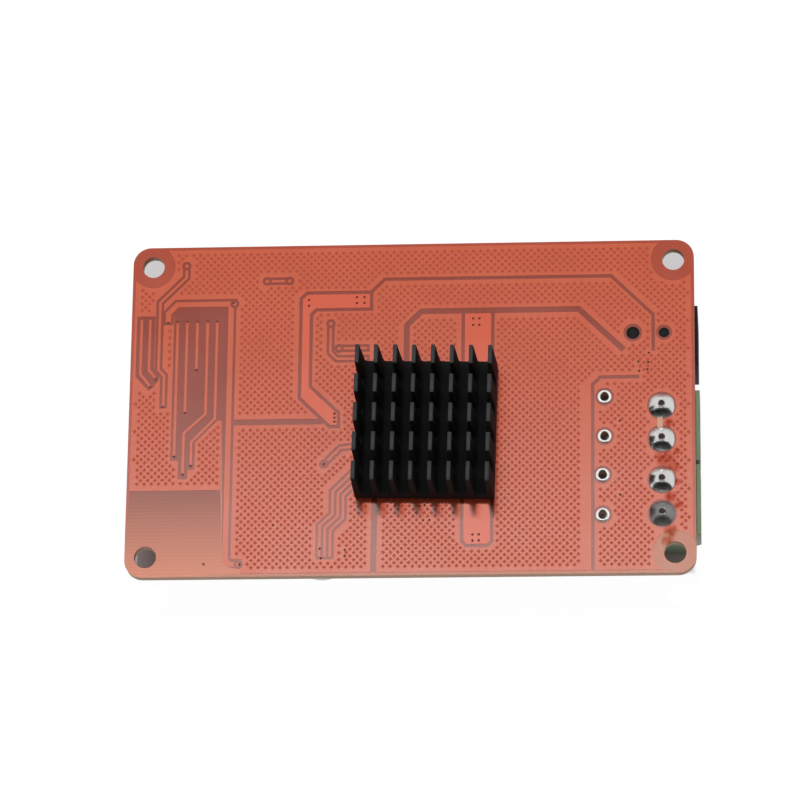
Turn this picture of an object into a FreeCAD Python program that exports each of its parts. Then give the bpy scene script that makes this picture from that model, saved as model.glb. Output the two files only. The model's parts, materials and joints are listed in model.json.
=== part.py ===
"""Audio amplifier board, lying solder side up.

Millimetres. The origin is the middle of the four fixing holes on the solder face, +X runs along the
board towards the sockets, +Y across it and +Z out of the solder face. Heights off the component face
are counted away from the board, so they grow towards -Z.
"""
import FreeCAD, Part
import os

Vec = FreeCAD.Vector

# Board
board_length = 82.0
board_width = 50.0
board_thickness = 1.6
corner_radius = 2.6
fixing_hole_inset = 3.0
fixing_hole_diameter = 3.2

# Copper under the solder mask
copper_relief = 0.06
copper_edge_gap = 0.45
fine_trace_width = 0.38
fine_trace_gap = 0.38
pour_gap = 0.5
wide_gap = 0.85
feed_trace_width = 0.78

# Heatsink and its bonding pad
heatsink_length = 20.0
heatsink_width = 20.0
heatsink_height = 10.0
heatsink_base = 2.2
heatsink_x = 2.42
heatsink_y = -3.8
heatsink_turn = -1.15
fin_count = 8
fin_root_thickness = 1.0
fin_tip_thickness = 0.56
fin_root_chamfer = 0.3
fin_row_count = 5
fin_row_slot = 1.58
fin_slot_floor = 2.6
pad_thickness = 0.3
pad_margin = 0.3

# Screw terminals
pole_pitch = 5.0
poles_per_block = 2
block_count = 2
block_pitch = 11.09
first_block_y = -2.69
block_end_wall = 2.75
block_depth = 10.0
block_height = 10.2
block_overhang = 0.65
block_lip_height = 6.2
block_lip_step = 0.75
block_back_slope = 2.6
terminal_pin_inset = 4.8
terminal_pin_width = 1.0
terminal_pin_thickness = 0.8
terminal_pin_stand_out = 1.5
terminal_pin_hole_clearance = 0.1
screw_offset = 2.3
screw_diameter = 3.0
screw_head_diameter = 3.8
screw_head_height = 0.9
screw_cross_width = 0.7
screw_cross_depth = 0.5
bar_height = 4.8
bar_thickness = 0.7
bar_width = 2.4
cage_travel = 2.0
cage_length = 3.2
cage_width = 3.9
cage_wall = 0.55
cage_floor = 0.7
cage_nut_wall = 0.9
wire_gap_open = 2.4
running_clearance = 0.05
cage_clearance = 0.1
wire_window_width = 2.8
wire_funnel_flare = 0.5

# Solder joints and wire holes
joint_radius = 1.84
joint_height = 1.3
joint_top_radius = 1.15
wire_hole_diameter = 1.24
wire_ring_diameter = 2.0
plating_crown = 0.09
wire_hole_pitch = 5.92
wire_hole_pair_y = (-1.71, -13.4)
wire_hole_pair_inset = (13.0, 13.3)

# Power socket
socket_y = 10.89
socket_width = 9.0
socket_height = 11.0
socket_length = 14.2
socket_overhang = 0.45
socket_flange = 2.2
socket_body_width = 8.0
socket_axis_height = 6.2
socket_bore_diameter = 6.3
socket_bore_depth = 10.0
socket_pin_diameter = 2.05
socket_pin_shank = 1.6
socket_pin_set_back = 1.2
socket_pin_tail = 0.4
socket_corner_radius = 1.6
peg_inset = (8.88, 4.38)
peg_diameter = (1.8, 1.4)
peg_clearance = 0.05
peg_length = 1.3
peg_root = 1.0
spring_width = 1.8
spring_thickness = 0.3
spring_bow = 1.6
spring_slot_margin = 1.0
tab_length = 1.6
tab_width = 2.0
tab_thickness = 0.3
tab_rise = 1.6
tab_inset = (10.4, 5.6)

# Reservoir capacitors
can_diameter = 8.0
can_height = 8.9
can_neck_height = 1.5
can_neck_depth = 0.28
can_neck_slope = 0.45
can_base_width = 8.3
can_base_height = 1.05
can_base_chamfer = 1.6
can_lead_width = 0.8
can_lead_thickness = 0.25
can_lead_reach = 4.75
can_lead_inner = 1.6
can_x = (8.4, -13.6, -13.6)
can_inset = (6.4, 6.8, 6.4)
can_side = (1, 1, -1)

# Output chokes
choke_width = 7.3
choke_height = 4.4
choke_inset = 20.4
choke_pitch = 8.5
choke_count = 4
choke_last_inset = 5.4
choke_corner = 1.5
choke_bore_diameter = 5.9
choke_core_gap = 0.2
choke_clip_thickness = 0.3
choke_clip_width = 3.0
choke_clip_rise = 1.6
choke_clip_inner = 1.7

# Amplifier chip
chip_width = 6.1
chip_length = 11.0
chip_height = 1.05
chip_stand_off = 0.1
chip_lead_pitch = 0.65
chip_leads_per_side = 16
chip_lead_width = 0.26
chip_lead_thickness = 0.16
chip_lead_reach = 1.0
chip_lead_foot = 0.6

# Memory chip
memory_inset = 9.7
memory_y = 9.0
memory_width = 3.9
memory_length = 4.9
memory_height = 1.5
memory_lead_pitch = 1.27
memory_leads_per_side = 4
memory_lead_width = 0.42
memory_lead_thickness = 0.2
memory_lead_reach = 1.05
memory_lead_foot = 0.65

# Radio chip, crystal and aerial
radio_inset = 9.4
radio_y = -5.2
radio_width = 5.0
radio_height = 0.9
crystal_inset = 15.6
crystal_y = -5.2
crystal_length = 3.2
crystal_width = 2.5
crystal_height = 0.75
aerial_inset = 6.6
aerial_foot_inset = 1.0
aerial_width = 7.2
aerial_run_pitch = 1.7
aerial_runs = 5
aerial_line = 0.6
aerial_copper = 0.07
aerial_feed_inset = 11.6

# Regulator and indicator lamp
regulator_inset = 21.0
regulator_y = 4.0
regulator_width = 6.5
regulator_depth = 3.5
regulator_height = 1.6
regulator_tab_width = 3.0
regulator_lead_pitch = 2.3
regulator_lead_width = 0.7
regulator_lead_thickness = 0.25
regulator_lead_reach = 1.75
lamp_inset = 3.4
lamp_y = 13.0
lamp_length = 2.0
lamp_width = 1.25
lamp_base = 0.35
lamp_height = 0.8

# Small two-ended parts
small_cap_length = 2.0
small_cap_width = 1.25
small_cap_height = 0.95
small_resistor_length = 1.6
small_resistor_width = 0.8
small_resistor_height = 0.45
row_step = 2.4
chip_cap_row_x = (-4.4, 9.6)
chip_cap_row_y = 2.6
chip_cap_row_count = 6
chip_resistor_row_x = -8.2
chip_resistor_row_y = 9.8
chip_resistor_row_count = 4
left_cap_row_inset = (17.4, 16.4, 3.4)
left_cap_row_y = (-1.4, 10.4, 8.6)
left_cap_row_count = (4, 4, 3)
left_cap_row_level = (True, True, False)
left_resistor_row_inset = (20.4, 20.4, 3.6)
left_resistor_row_y = (-8.0, -10.6, -1.0)
left_resistor_row_count = (5, 4, 4)
left_resistor_row_level = (True, True, False)

component_face = -board_thickness
half_length = board_length / 2
half_width = board_width / 2
left_edge = -half_length
right_edge = half_length
top_edge = half_width
foot_edge = -half_width
block_width = (poles_per_block - 1) * pole_pitch + 2 * block_end_wall
terminal_pin_x = right_edge - terminal_pin_inset
peg_x = [right_edge - inset for inset in peg_inset]
choke_x = right_edge - choke_inset
choke_first_y = foot_edge + choke_last_inset + (choke_count - 1) * choke_pitch
memory_x = left_edge + memory_inset
radio_x = left_edge + radio_inset
crystal_x = left_edge + crystal_inset
regulator_x = left_edge + regulator_inset
lamp_x = left_edge + lamp_inset


def export(shape, node):
    """Write one node's solids to its own file."""
    shape.exportStep("parts/" + node + ".step")


def group(shapes):
    """Several separate solids that share a node."""
    return Part.makeCompound(shapes)


def slab(x0, x1, y0, y1, low, high):
    """A block on the component side, between two heights off that face."""
    return Part.makeBox(x1 - x0, y1 - y0, high - low, Vec(x0, y0, component_face - high))


def post(x, y, low, high, radius):
    """A round post on the component side, between two heights off that face."""
    return Part.makeCylinder(radius, high - low, Vec(x, y, component_face - high))


def outline_face(corners):
    """A flat face inside a closed run of straight edges."""
    return Part.Face(Part.makePolygon(corners + corners[:1]))


def profile_along_y(points, y0, y1):
    """An outline in x and height, drawn out along the board's width."""
    corners = [Vec(x, y0, component_face - height) for x, height in points]
    return outline_face(corners).extrude(Vec(0, y1 - y0, 0))


def profile_along_x(points, x0, x1):
    """An outline in y and height, drawn out along the board's length."""
    corners = [Vec(x0, y, component_face - height) for y, height in points]
    return outline_face(corners).extrude(Vec(x1 - x0, 0, 0))


def plan(points, low, high):
    """An outline seen from above, drawn out between two heights off the component face."""
    corners = [Vec(x, y, component_face - high) for x, y in points]
    return outline_face(corners).extrude(Vec(0, 0, high - low))


def mitred_side(points, offset, closed):
    """The run of points that lies beside a bent line, with mitred corners."""
    line = [Vec(x, y, 0) for x, y in points]
    count = len(line)
    side = []
    for i, here in enumerate(line):
        ahead = line[(i + 1) % count] - here
        behind = here - line[i - 1]
        if not closed and i == 0:
            behind = ahead
        if not closed and i == count - 1:
            ahead = behind
        ahead.normalize()
        behind.normalize()
        normal = Vec(-ahead.y - behind.y, ahead.x + behind.x, 0)
        normal.normalize()
        reach = offset / (ahead.x * normal.y - ahead.y * normal.x)
        side.append(here + normal * reach)
    return side


def strip(points, width, closed=False):
    """A flat band of one width along a bent line, or round a closed one."""
    left = mitred_side(points, width / 2, closed)
    right = mitred_side(points, -width / 2, closed)
    if closed:
        faces = sorted([outline_face(left), outline_face(right)], key=lambda face: face.Area)
        return faces[1].cut(faces[0])
    return outline_face(left + right[::-1])


def lengthened(points, extra):
    """The same bent line with its two ends moved outwards."""
    line = [Vec(x, y, 0) for x, y in points]
    first = line[0] - line[1]
    last = line[-1] - line[-2]
    first.normalize()
    last.normalize()
    line[0] = line[0] + first * extra
    line[-1] = line[-1] + last * extra
    return [(p.x, p.y) for p in line]


def sunk(face):
    """A bare stretch between coppers, as the shallow cut it leaves in the solder face."""
    return face.translated(Vec(0, 0, -copper_relief)).extrude(Vec(0, 0, 2 * copper_relief))


def raised(face):
    """A copper run that stands in a bare stretch, level with the pour."""
    return face.translated(Vec(0, 0, -copper_relief)).extrude(Vec(0, 0, copper_relief))


def from_left(points):
    """Points whose x is counted from the board's left edge."""
    return [(left_edge + x, y) for x, y in points]


def fixing_holes():
    """Centres of the four fixing holes."""
    x = half_length - fixing_hole_inset
    y = half_width - fixing_hole_inset
    return [(x, y), (-x, y), (-x, -y), (x, -y)]


def terminal_pins():
    """Centres of the screw terminals' pins, from the top of the board down."""
    places = []
    for block in range(block_count):
        for pole in range(poles_per_block):
            y = first_block_y - block * block_pitch
            y += pole_pitch * ((poles_per_block - 1) / 2 - pole)
            places.append((terminal_pin_x, y))
    return places


def wire_holes():
    """Centres of the plated wire holes, which come in pairs."""
    places = []
    for inset, y in zip(wire_hole_pair_inset, wire_hole_pair_y):
        x = right_edge - inset
        places.append((x, y + wire_hole_pitch / 2))
        places.append((x, y - wire_hole_pitch / 2))
    return places


def fine_traces():
    """Centre lines of the thin signal traces on the solder side."""
    return [
        from_left([(7.9, 22.1), (7.9, 20.3), (4.15, 16.5), (4.15, 6.2), (5.0, 5.3), (5.0, 0.7)]),
        from_left([(1.5, 13.9), (1.5, 5.6), (3.0, 3.7)]),
        from_left([(2.75, 13.9), (2.75, 6.2), (3.7, 5.0)]),
        from_left([(19.8, 19.55), (23.1, 19.55)]),
        [(-11.75, 12.9), (-11.75, 8.5), (-10.75, 7.5), (-6.4, 7.5)],
        [(-10.5, 9.1), (-6.4, 9.1)],
        [(-12.4, -8.4), (-10.1, -6.0), (-6.6, -5.6)],
    ]


def comb_traces():
    """Centre lines of the five traces that cross the bare panel on the left."""
    return [
        from_left([(6.8, 13.5), (6.8, -7.0)]),
        from_left([(8.2, 13.5), (8.2, -0.4)]),
        from_left([(9.7, 13.5), (9.7, 6.1)]),
        from_left([(11.2, 13.5), (11.2, -0.6), (8.1, -3.5), (8.1, -9.7)]),
        from_left([(12.6, 13.5), (12.6, -1.3), (9.25, -4.8), (9.25, -8.4)]),
    ]


def comb_panel():
    """Outline of the bare panel that the five traces cross."""
    return from_left([(6.25, 15.6), (14.1, 15.6), (14.1, -12.2), (13.6, -12.2), (13.6, -1.6), (13.0, -1.6),
                      (9.8, -4.9), (9.8, -9.0), (8.8, -9.0), (8.8, -10.4), (7.4, -10.4), (7.4, -7.6),
                      (6.25, -7.6)])


def left_panel():
    """Outline of the bare panel round the two traces at the left edge."""
    return from_left([(0.8, 14.4), (3.5, 14.4), (3.5, 6.5), (4.25, 5.5), (4.25, 4.6), (2.8, 3.0), (0.8, 5.2)])


def aerial_corner():
    """Outline of the bare corner that is left clear for the aerial."""
    rim = copper_edge_gap / 2
    foot = foot_edge + rim
    top = foot_edge + 12.9
    step = foot_edge + 1.3
    return from_left([(rim, top), (14.1, top), (14.1, step + 1.0), (15.0, step), (16.8, step), (16.8, foot),
                      (rim, foot)])


def feed_traces():
    """Centre lines of the wider feed trace beside the panel, in two runs that meet."""
    foot = foot_edge + 1.8
    return [
        from_left([(5.4, 13.4), (5.4, 14.8), (6.7, 16.15), (15.1, 16.15)]),
        from_left([(14.6, 16.1), (14.6, foot + 0.6), (15.2, foot), (16.5, foot)]),
    ]


def bus_traces():
    """Centre lines of the three parallel traces below the heatsink's left corner."""
    foot = foot_edge + 2.8
    middle = [(-7.4, -9.9), (-10.3, -12.8), (-10.3, foot + 6.0), (-12.1, foot + 4.3), (-12.1, foot)]
    beside = fine_trace_width + fine_trace_gap
    lines = []
    for offset in (-beside, 0, beside):
        lines.append([(p.x, p.y) for p in mitred_side(middle, offset, False)])
    return lines


def pour_gaps():
    """Bare lines that part the copper areas: points, width and whether the line is closed."""
    foot = foot_edge + copper_edge_gap / 2
    crest = top_edge - 5.4
    return [
        ([(-16.15, 16.8), (-15.3, 17.65), (-5.85, 17.65), (-5.85, 15.05), (-13.9, 15.05), (-14.6, 14.35),
          (-14.6, 3.4), (-10.4, -0.7), (-10.4, -2.75), (-11.7, -2.75), (-16.15, 1.6)], pour_gap, True),
        ([(-5.85, crest - 1.9), (-3.95, crest), (right_edge - 12.0, crest), (right_edge - 5.95, crest - 6.0),
          (right_edge - 5.95, 8.1)], pour_gap, False),
        ([(-0.65, 3.0), (-0.65, 12.5), (1.45, 14.6), (right_edge - 16.7, 14.6), (right_edge - 10.2, 8.3)],
         wide_gap, False),
        ([(7.55, 14.4), (7.55, -20.1), (8.15, -20.75), (11.25, -20.75), (11.85, -20.1), (11.85, 14.4)],
         pour_gap, False),
        ([(left_edge + 15.0, -1.95), (-12.7, -1.95)], wide_gap, False),
        ([(-5.05, -3.0), (-5.05, foot)], wide_gap, False),
        ([(right_edge - 8.0, 4.2), (right_edge - 13.6, 4.2), (right_edge - 14.7, 3.1),
          (right_edge - 14.7, foot)], pour_gap, False),
    ]


def bare_faces():
    """Every stretch of the solder side that has no copper under the mask."""
    faces = [strip(points, width, closed) for points, width, closed in pour_gaps()]
    for points in fine_traces():
        faces.append(strip(lengthened(points, fine_trace_gap), fine_trace_width + 2 * fine_trace_gap))
    for points in bus_traces():
        faces.append(strip(lengthened(points, fine_trace_gap), fine_trace_width + 2 * fine_trace_gap))
    for points in feed_traces():
        faces.append(strip(lengthened(points, fine_trace_gap), feed_trace_width + 2 * fine_trace_gap))
    for points in (comb_panel(), left_panel(), aerial_corner()):
        faces.append(outline_face([Vec(x, y, 0) for x, y in points]))
    return faces


def copper_runs():
    """The copper that stands inside the bare stretches."""
    runs = [strip(points, fine_trace_width) for points in fine_traces() + comb_traces() + bus_traces()]
    runs += [strip(points, feed_trace_width) for points in feed_traces()]
    return runs


def rounded_plate(inset, low_z, high_z):
    """The board's outline, moved inwards by a given width, as a plate between two levels."""
    x = half_length - inset
    y = half_width - inset
    plate = Part.makeBox(2 * x, 2 * y, high_z - low_z, Vec(-x, -y, low_z))
    upright = [edge for edge in plate.Edges if abs(edge.tangentAt(edge.FirstParameter).z) > 0.5]
    return plate.makeFillet(corner_radius - inset, upright)


def circuit_board():
    """The laminate with the relief of its copper on the solder side and all of its holes."""
    plate = rounded_plate(0, component_face, -copper_relief)
    pour = rounded_plate(copper_edge_gap, -copper_relief, 0)
    pour = pour.cut([sunk(face) for face in bare_faces()])
    pour = pour.fuse([raised(face) for face in copper_runs()])
    board = plate.fuse(pour)
    holes = [(x, y, fixing_hole_diameter) for x, y in fixing_holes()]
    holes += [(x, y, wire_hole_diameter) for x, y in wire_holes()]
    holes += [(x, socket_y, diameter + 2 * peg_clearance) for x, diameter in zip(peg_x, peg_diameter)]
    drills = []
    for x, y in terminal_pins():
        half_t = terminal_pin_thickness / 2 + terminal_pin_hole_clearance
        half_w = terminal_pin_width / 2 + terminal_pin_hole_clearance
        drills.append(Part.makeBox(2 * half_t, 2 * half_w, 3 * board_thickness,
                                   Vec(x - half_t, y - half_w, 2 * component_face)))
    for x, y, diameter in holes:
        drills.append(Part.makeCylinder(diameter / 2, 3 * board_thickness, Vec(x, y, 2 * component_face)))
    return board.cut(drills).removeSplitter()


def wire_hole_plating(x, y):
    """The tinned ring round one wire hole on the solder face, crowned in the middle of its width."""
    inner = wire_hole_diameter / 2
    outer = wire_ring_diameter / 2
    section = [Vec(inner, 0, 0), Vec(outer, 0, 0), Vec((inner + outer) / 2, 0, plating_crown)]
    return outline_face(section).revolve(Vec(0, 0, 0), Vec(0, 0, 1), 360).translated(Vec(x, y, 0))


def heatsink():
    """An extruded comb of tapered fins, slotted across into rows of blades."""
    pitch = (heatsink_width - fin_root_thickness) / (fin_count - 1)
    taper = (fin_root_thickness - fin_tip_thickness) / 2
    half = heatsink_width / 2
    outline = [(half, 0), (-half, 0)]
    for i in range(fin_count):
        left = -half + i * pitch
        right = left + fin_root_thickness
        if i > 0:
            outline.append((left - fin_root_chamfer, heatsink_base))
            outline.append((left, heatsink_base + fin_root_chamfer))
        else:
            outline.append((left, heatsink_base))
        outline.append((left + taper, heatsink_height))
        outline.append((right - taper, heatsink_height))
        if i < fin_count - 1:
            outline.append((right, heatsink_base + fin_root_chamfer))
            outline.append((right + fin_root_chamfer, heatsink_base))
        else:
            outline.append((right, heatsink_base))
    corners = [Vec(x, -heatsink_length / 2, z) for x, z in outline]
    body = outline_face(corners).extrude(Vec(0, heatsink_length, 0))
    blade = (heatsink_length - (fin_row_count - 1) * fin_row_slot) / fin_row_count
    slots = []
    for row in range(fin_row_count - 1):
        y = -heatsink_length / 2 + (row + 1) * blade + row * fin_row_slot
        slots.append(Part.makeBox(2 * heatsink_width, fin_row_slot, heatsink_height,
                                  Vec(-heatsink_width, y, fin_slot_floor)))
    return bonded(body.cut(slots).removeSplitter(), pad_thickness)


def bonding_pad():
    """The thin pad that holds the heatsink on the board."""
    x = heatsink_width / 2 - pad_margin
    y = heatsink_length / 2 - pad_margin
    return bonded(Part.makeBox(2 * x, 2 * y, pad_thickness, Vec(-x, -y, 0)), 0)


def bonded(shape, level):
    """Put a piece where the heatsink was stuck down, a little out of square."""
    shape.rotate(Vec(0, 0, 0), Vec(0, 0, 1), heatsink_turn)
    return shape.translated(Vec(heatsink_x, heatsink_y, level))


def terminal_levels():
    """Heights that the parts of a terminal share: bar top, cage foot and top, head foot and top."""
    bar_top = bar_height + bar_thickness
    cage_foot = bar_height - wire_gap_open - cage_floor
    cage_top = bar_top + cage_clearance + cage_nut_wall
    head_foot = cage_top + cage_travel + cage_clearance
    return bar_top, cage_foot, cage_top, head_foot, head_foot + screw_head_height


def cage_box(wide):
    """The cage's reach in x and half its width, with a clearance round it."""
    middle = terminal_pin_x + screw_offset
    return middle - cage_length / 2 - wide, middle + cage_length / 2 + wide, cage_width / 2 + wide


def terminal_housing(first_pin):
    """One moulded block for two poles, open underneath, with its chambers and wire entries."""
    front = half_length + block_overhang
    back = front - block_depth
    y_top = first_pin + block_end_wall
    y_foot = y_top - block_width
    step = front - block_lip_step
    lip = [(back, 0), (front, 0), (front, block_lip_height - block_lip_step), (step, block_lip_height),
           (step, block_height), (back + block_back_slope, block_height), (back, block_lip_height)]
    housing = profile_along_y(lip, y_foot, y_top)
    bar_top, cage_foot, cage_top, head_foot, head_top = terminal_levels()
    x0, x1, half = cage_box(cage_clearance)
    leg_back = terminal_pin_x - terminal_pin_thickness / 2
    screw_x = terminal_pin_x + screw_offset
    window_foot = bar_height - wire_gap_open
    cuts = []
    for pole in range(poles_per_block):
        y = first_pin - pole * pole_pitch
        leg_half = bar_width / 2 + cage_clearance
        cuts.append(slab(x0, x1, y - half, y + half, 0, head_foot))
        cuts.append(slab(leg_back, x0, y - leg_half, y + leg_half, 0, bar_top))
        cuts.append(post(screw_x, y, head_foot, block_height, screw_head_diameter / 2 + running_clearance))
        inner = wire_window_width / 2
        outer = inner + wire_funnel_flare
        rims = []
        for x, reach, grow in ((x1, inner, 0), (front, outer, wire_funnel_flare)):
            low = component_face - window_foot + grow
            high = component_face - bar_height - grow
            corners = [Vec(x, y - reach, low), Vec(x, y + reach, low), Vec(x, y + reach, high),
                       Vec(x, y - reach, high)]
            rims.append(Part.makePolygon(corners + corners[:1]))
        cuts.append(Part.makeLoft(rims, True, True))
    return housing.cut(cuts)


def terminal_contact(y):
    """The bar that the wire is pressed against, with its leg and its pin through the board."""
    bar_top = terminal_levels()[0]
    leg_back = terminal_pin_x - terminal_pin_thickness / 2
    leg_front = terminal_pin_x + terminal_pin_thickness / 2
    bar_front = cage_box(cage_clearance)[1]
    half = bar_width / 2
    bar = slab(leg_back, bar_front, y - half, y + half, bar_height, bar_top)
    leg = slab(leg_back, leg_front, y - half, y + half, 0, bar_top)
    pin_half = terminal_pin_width / 2
    pin = slab(leg_back, leg_front, y - pin_half, y + pin_half, -board_thickness - terminal_pin_stand_out,
               bar_top)
    contact = bar.fuse([leg, pin]).removeSplitter()
    tip_edges = [edge for edge in contact.Edges if edge.BoundBox.ZMin > terminal_pin_stand_out - 0.01]
    return contact.makeChamfer(terminal_pin_thickness / 4, tip_edges)


def terminal_cage(y):
    """The rising frame that lifts the wire against the bar, threaded on the screw."""
    bar_top, cage_foot, cage_top, head_foot, head_top = terminal_levels()
    x0, x1, half = cage_box(0)
    inner = half - cage_wall
    frame = slab(x0, x1, y - half, y + half, cage_foot, cage_top)
    window = slab(x0 - 1, x1 + 1, y - inner, y + inner, cage_foot + cage_floor, cage_top - cage_nut_wall)
    nut = post(terminal_pin_x + screw_offset, y, cage_foot + cage_floor, cage_top,
               screw_diameter / 2 + running_clearance)
    return frame.cut([window, nut])


def terminal_screw(y):
    """The captive screw, its tip on the bar and its head under the housing's lip."""
    bar_top, cage_foot, cage_top, head_foot, head_top = terminal_levels()
    x = terminal_pin_x + screw_offset
    shank = post(x, y, bar_top + running_clearance, head_foot, screw_diameter / 2)
    head = post(x, y, head_foot, head_top, screw_head_diameter / 2)
    screw = shank.fuse(head).removeSplitter()
    reach = screw_head_diameter * 0.42
    half = screw_cross_width / 2
    low = head_top - screw_cross_depth
    cross = [slab(x - reach, x + reach, y - half, y + half, low, head_top),
             slab(x - half, x + half, y - reach, y + reach, low, head_top)]
    return screw.cut(cross)


def solder_joint(x, y):
    """The mound of solder round one pin."""
    mound = Part.makeCone(joint_radius, joint_top_radius, joint_height, Vec(x, y, 0))
    half_t = terminal_pin_thickness / 2
    half_w = terminal_pin_width / 2
    slot = Part.makeBox(2 * half_t, 2 * half_w, 3 * joint_height, Vec(x - half_t, y - half_w, -joint_height))
    return mound.cut(slot)


def socket_housing():
    """The moulded power socket with its flange, arched barrel, bore and two locating pegs."""
    front = half_length + socket_overhang
    back = front - socket_length
    y0 = socket_y - socket_width / 2
    flange = slab(front - socket_flange, front, y0, y0 + socket_width, 0, socket_height)
    far = [edge for edge in flange.Edges
           if abs(edge.tangentAt(edge.FirstParameter).x) > 0.5
           and edge.BoundBox.ZMax < component_face - socket_height / 2]
    flange = flange.makeFillet(socket_corner_radius, far)
    half = socket_body_width / 2
    base = slab(back, front - socket_flange, socket_y - half, socket_y + half, 0, socket_axis_height)
    axis = Vec(back, socket_y, component_face - socket_axis_height)
    barrel = Part.makeCylinder(half, socket_length - socket_flange, axis, Vec(1, 0, 0))
    bore = Part.makeCylinder(socket_bore_diameter / 2, socket_bore_depth,
                             Vec(front - socket_bore_depth, socket_y, axis.z), Vec(1, 0, 0))
    tail = Part.makeCylinder(socket_pin_shank / 2, socket_length, axis, Vec(1, 0, 0))
    housing = flange.fuse([base, barrel])
    pegs = []
    for x, diameter in zip(peg_x, peg_diameter):
        pegs.append(Part.makeCylinder(diameter / 2, peg_root + peg_length,
                                      Vec(x, socket_y, component_face - peg_root)))
    spring_half = spring_width / 2 + running_clearance
    slot_top = socket_axis_height - socket_bore_diameter / 2 + spring_slot_margin
    slot = slab(front - socket_bore_depth, front - socket_flange, socket_y - spring_half,
                socket_y + spring_half, spring_seat_height(), slot_top)
    return housing.cut([bore, tail, slot]).fuse(pegs).removeSplitter()


def spring_seat_height():
    """Height of the floor that the spring contact lies on, below the bore."""
    return (socket_axis_height - socket_bore_diameter / 2) / 2


def socket_pin():
    """The centre pin, with a thinner shank riveted through the socket's back wall."""
    front = half_length + socket_overhang
    back = front - socket_length
    z = component_face - socket_axis_height
    radius = socket_pin_diameter / 2
    foot = front - socket_bore_depth
    length = socket_bore_depth - socket_pin_set_back
    pin = Part.makeCylinder(radius, length, Vec(foot, socket_y, z), Vec(1, 0, 0))
    shank = Part.makeCylinder(socket_pin_shank / 2, foot - back, Vec(back, socket_y, z), Vec(1, 0, 0))
    tail = slab(back - socket_pin_tail, back, socket_y - radius, socket_y + radius, 0,
                socket_axis_height + radius)
    return pin.fuse([shank, tail]).removeSplitter()


def socket_spring():
    """The leaf that presses on the plug's sleeve, bowed up into the bore."""
    front = half_length + socket_overhang
    start = front - socket_bore_depth
    end = front - socket_flange
    middle = (start + end) / 2
    seat = spring_seat_height()
    crown = seat + spring_bow
    lower = Part.Arc(vec_xh(start, seat), vec_xh(middle, crown), vec_xh(end, seat)).toShape()
    upper = Part.Arc(vec_xh(start, seat + spring_thickness), vec_xh(middle, crown + spring_thickness),
                     vec_xh(end, seat + spring_thickness)).toShape()
    wire = Part.Wire([lower, Part.makeLine(vec_xh(end, seat), vec_xh(end, seat + spring_thickness)), upper,
                      Part.makeLine(vec_xh(start, seat + spring_thickness), vec_xh(start, seat))])
    leaf = Part.Face(wire).extrude(Vec(0, spring_width, 0))
    return leaf.translated(Vec(0, socket_y - spring_width / 2, 0))


def vec_xh(x, height):
    """A point in the plane y = 0, by its x and its height off the component face."""
    return Vec(x, 0, component_face - height)


def socket_tabs():
    """The solder tabs at both sides of the socket."""
    tabs = []
    half = socket_body_width / 2
    for x in [right_edge - inset for inset in tab_inset]:
        for side in (-1, 1):
            wall = socket_y + side * half
            points = [(wall, 0), (wall + side * tab_length, 0), (wall + side * tab_length, tab_thickness),
                      (wall + side * tab_thickness, tab_thickness), (wall + side * tab_thickness, tab_rise),
                      (wall, tab_rise)]
            tabs.append(profile_along_x(points, x - tab_width / 2, x + tab_width / 2))
    return group(tabs)


def can_levels():
    """Heights of the foot and top of a capacitor's base."""
    return can_lead_thickness, can_lead_thickness + can_base_height


def can_places():
    """Centres of the capacitors, which stand beside the board's long edges."""
    return [(x, side * (half_width - inset)) for x, inset, side in zip(can_x, can_inset, can_side)]


def capacitor_can(x, y):
    """The drawn aluminium can, rolled in to a neck at its foot."""
    foot = can_levels()[1]
    top = foot + can_height
    radius = can_diameter / 2
    neck = foot + can_neck_height
    line = [(0, foot), (radius - can_neck_depth, foot), (radius - can_neck_depth, neck),
            (radius, neck + can_neck_slope), (radius, top), (0, top)]
    face = outline_face([vec_xh(r, height) for r, height in line])
    return face.revolve(Vec(0, 0, 0), Vec(0, 0, 1), 360).translated(Vec(x, y, 0))


def capacitor_base(x, y):
    """The moulded base with two cut corners."""
    foot, top = can_levels()
    half = can_base_width / 2
    corner = half - can_base_chamfer
    points = [(x - half, y - half), (x + corner, y - half), (x + half, y - corner), (x + half, y + corner),
              (x + corner, y + half), (x - half, y + half)]
    return plan(points, foot, top)


def capacitor_leads(x, y):
    """The two flat leads that come out under the base."""
    half = can_lead_width / 2
    left = slab(x - can_lead_reach, x - can_lead_inner, y - half, y + half, 0, can_lead_thickness)
    right = slab(x + can_lead_inner, x + can_lead_reach, y - half, y + half, 0, can_lead_thickness)
    return group([left, right])


def choke_shield(y):
    """The outer ferrite ring of a choke, square outside and round inside."""
    half = choke_width / 2
    cut = half - choke_corner
    x = choke_x
    points = [(x - cut, y - half), (x + cut, y - half), (x + half, y - cut), (x + half, y + cut),
              (x + cut, y + half), (x - cut, y + half), (x - half, y + cut), (x - half, y - cut)]
    ring = plan(points, choke_clip_thickness, choke_height)
    return ring.cut(post(x, y, 0, choke_height, choke_bore_diameter / 2))


def choke_core(y):
    """The drum that closes the ring's mouth, with its winding inside the closed choke."""
    radius = choke_bore_diameter / 2 - choke_core_gap
    return post(choke_x, y, choke_clip_thickness, choke_height - choke_core_gap, radius)


def choke_clips(y):
    """The two bent end clips that a choke stands on."""
    clips = []
    half = choke_width / 2
    for side in (-1, 1):
        wall = y + side * half
        outer = wall + side * choke_clip_thickness
        inner = wall - side * choke_clip_inner
        points = [(inner, 0), (outer, 0), (outer, choke_clip_rise), (wall, choke_clip_rise),
                  (wall, choke_clip_thickness), (inner, choke_clip_thickness)]
        clips.append(profile_along_x(points, choke_x - choke_clip_width / 2, choke_x + choke_clip_width / 2))
    return group(clips)


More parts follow.
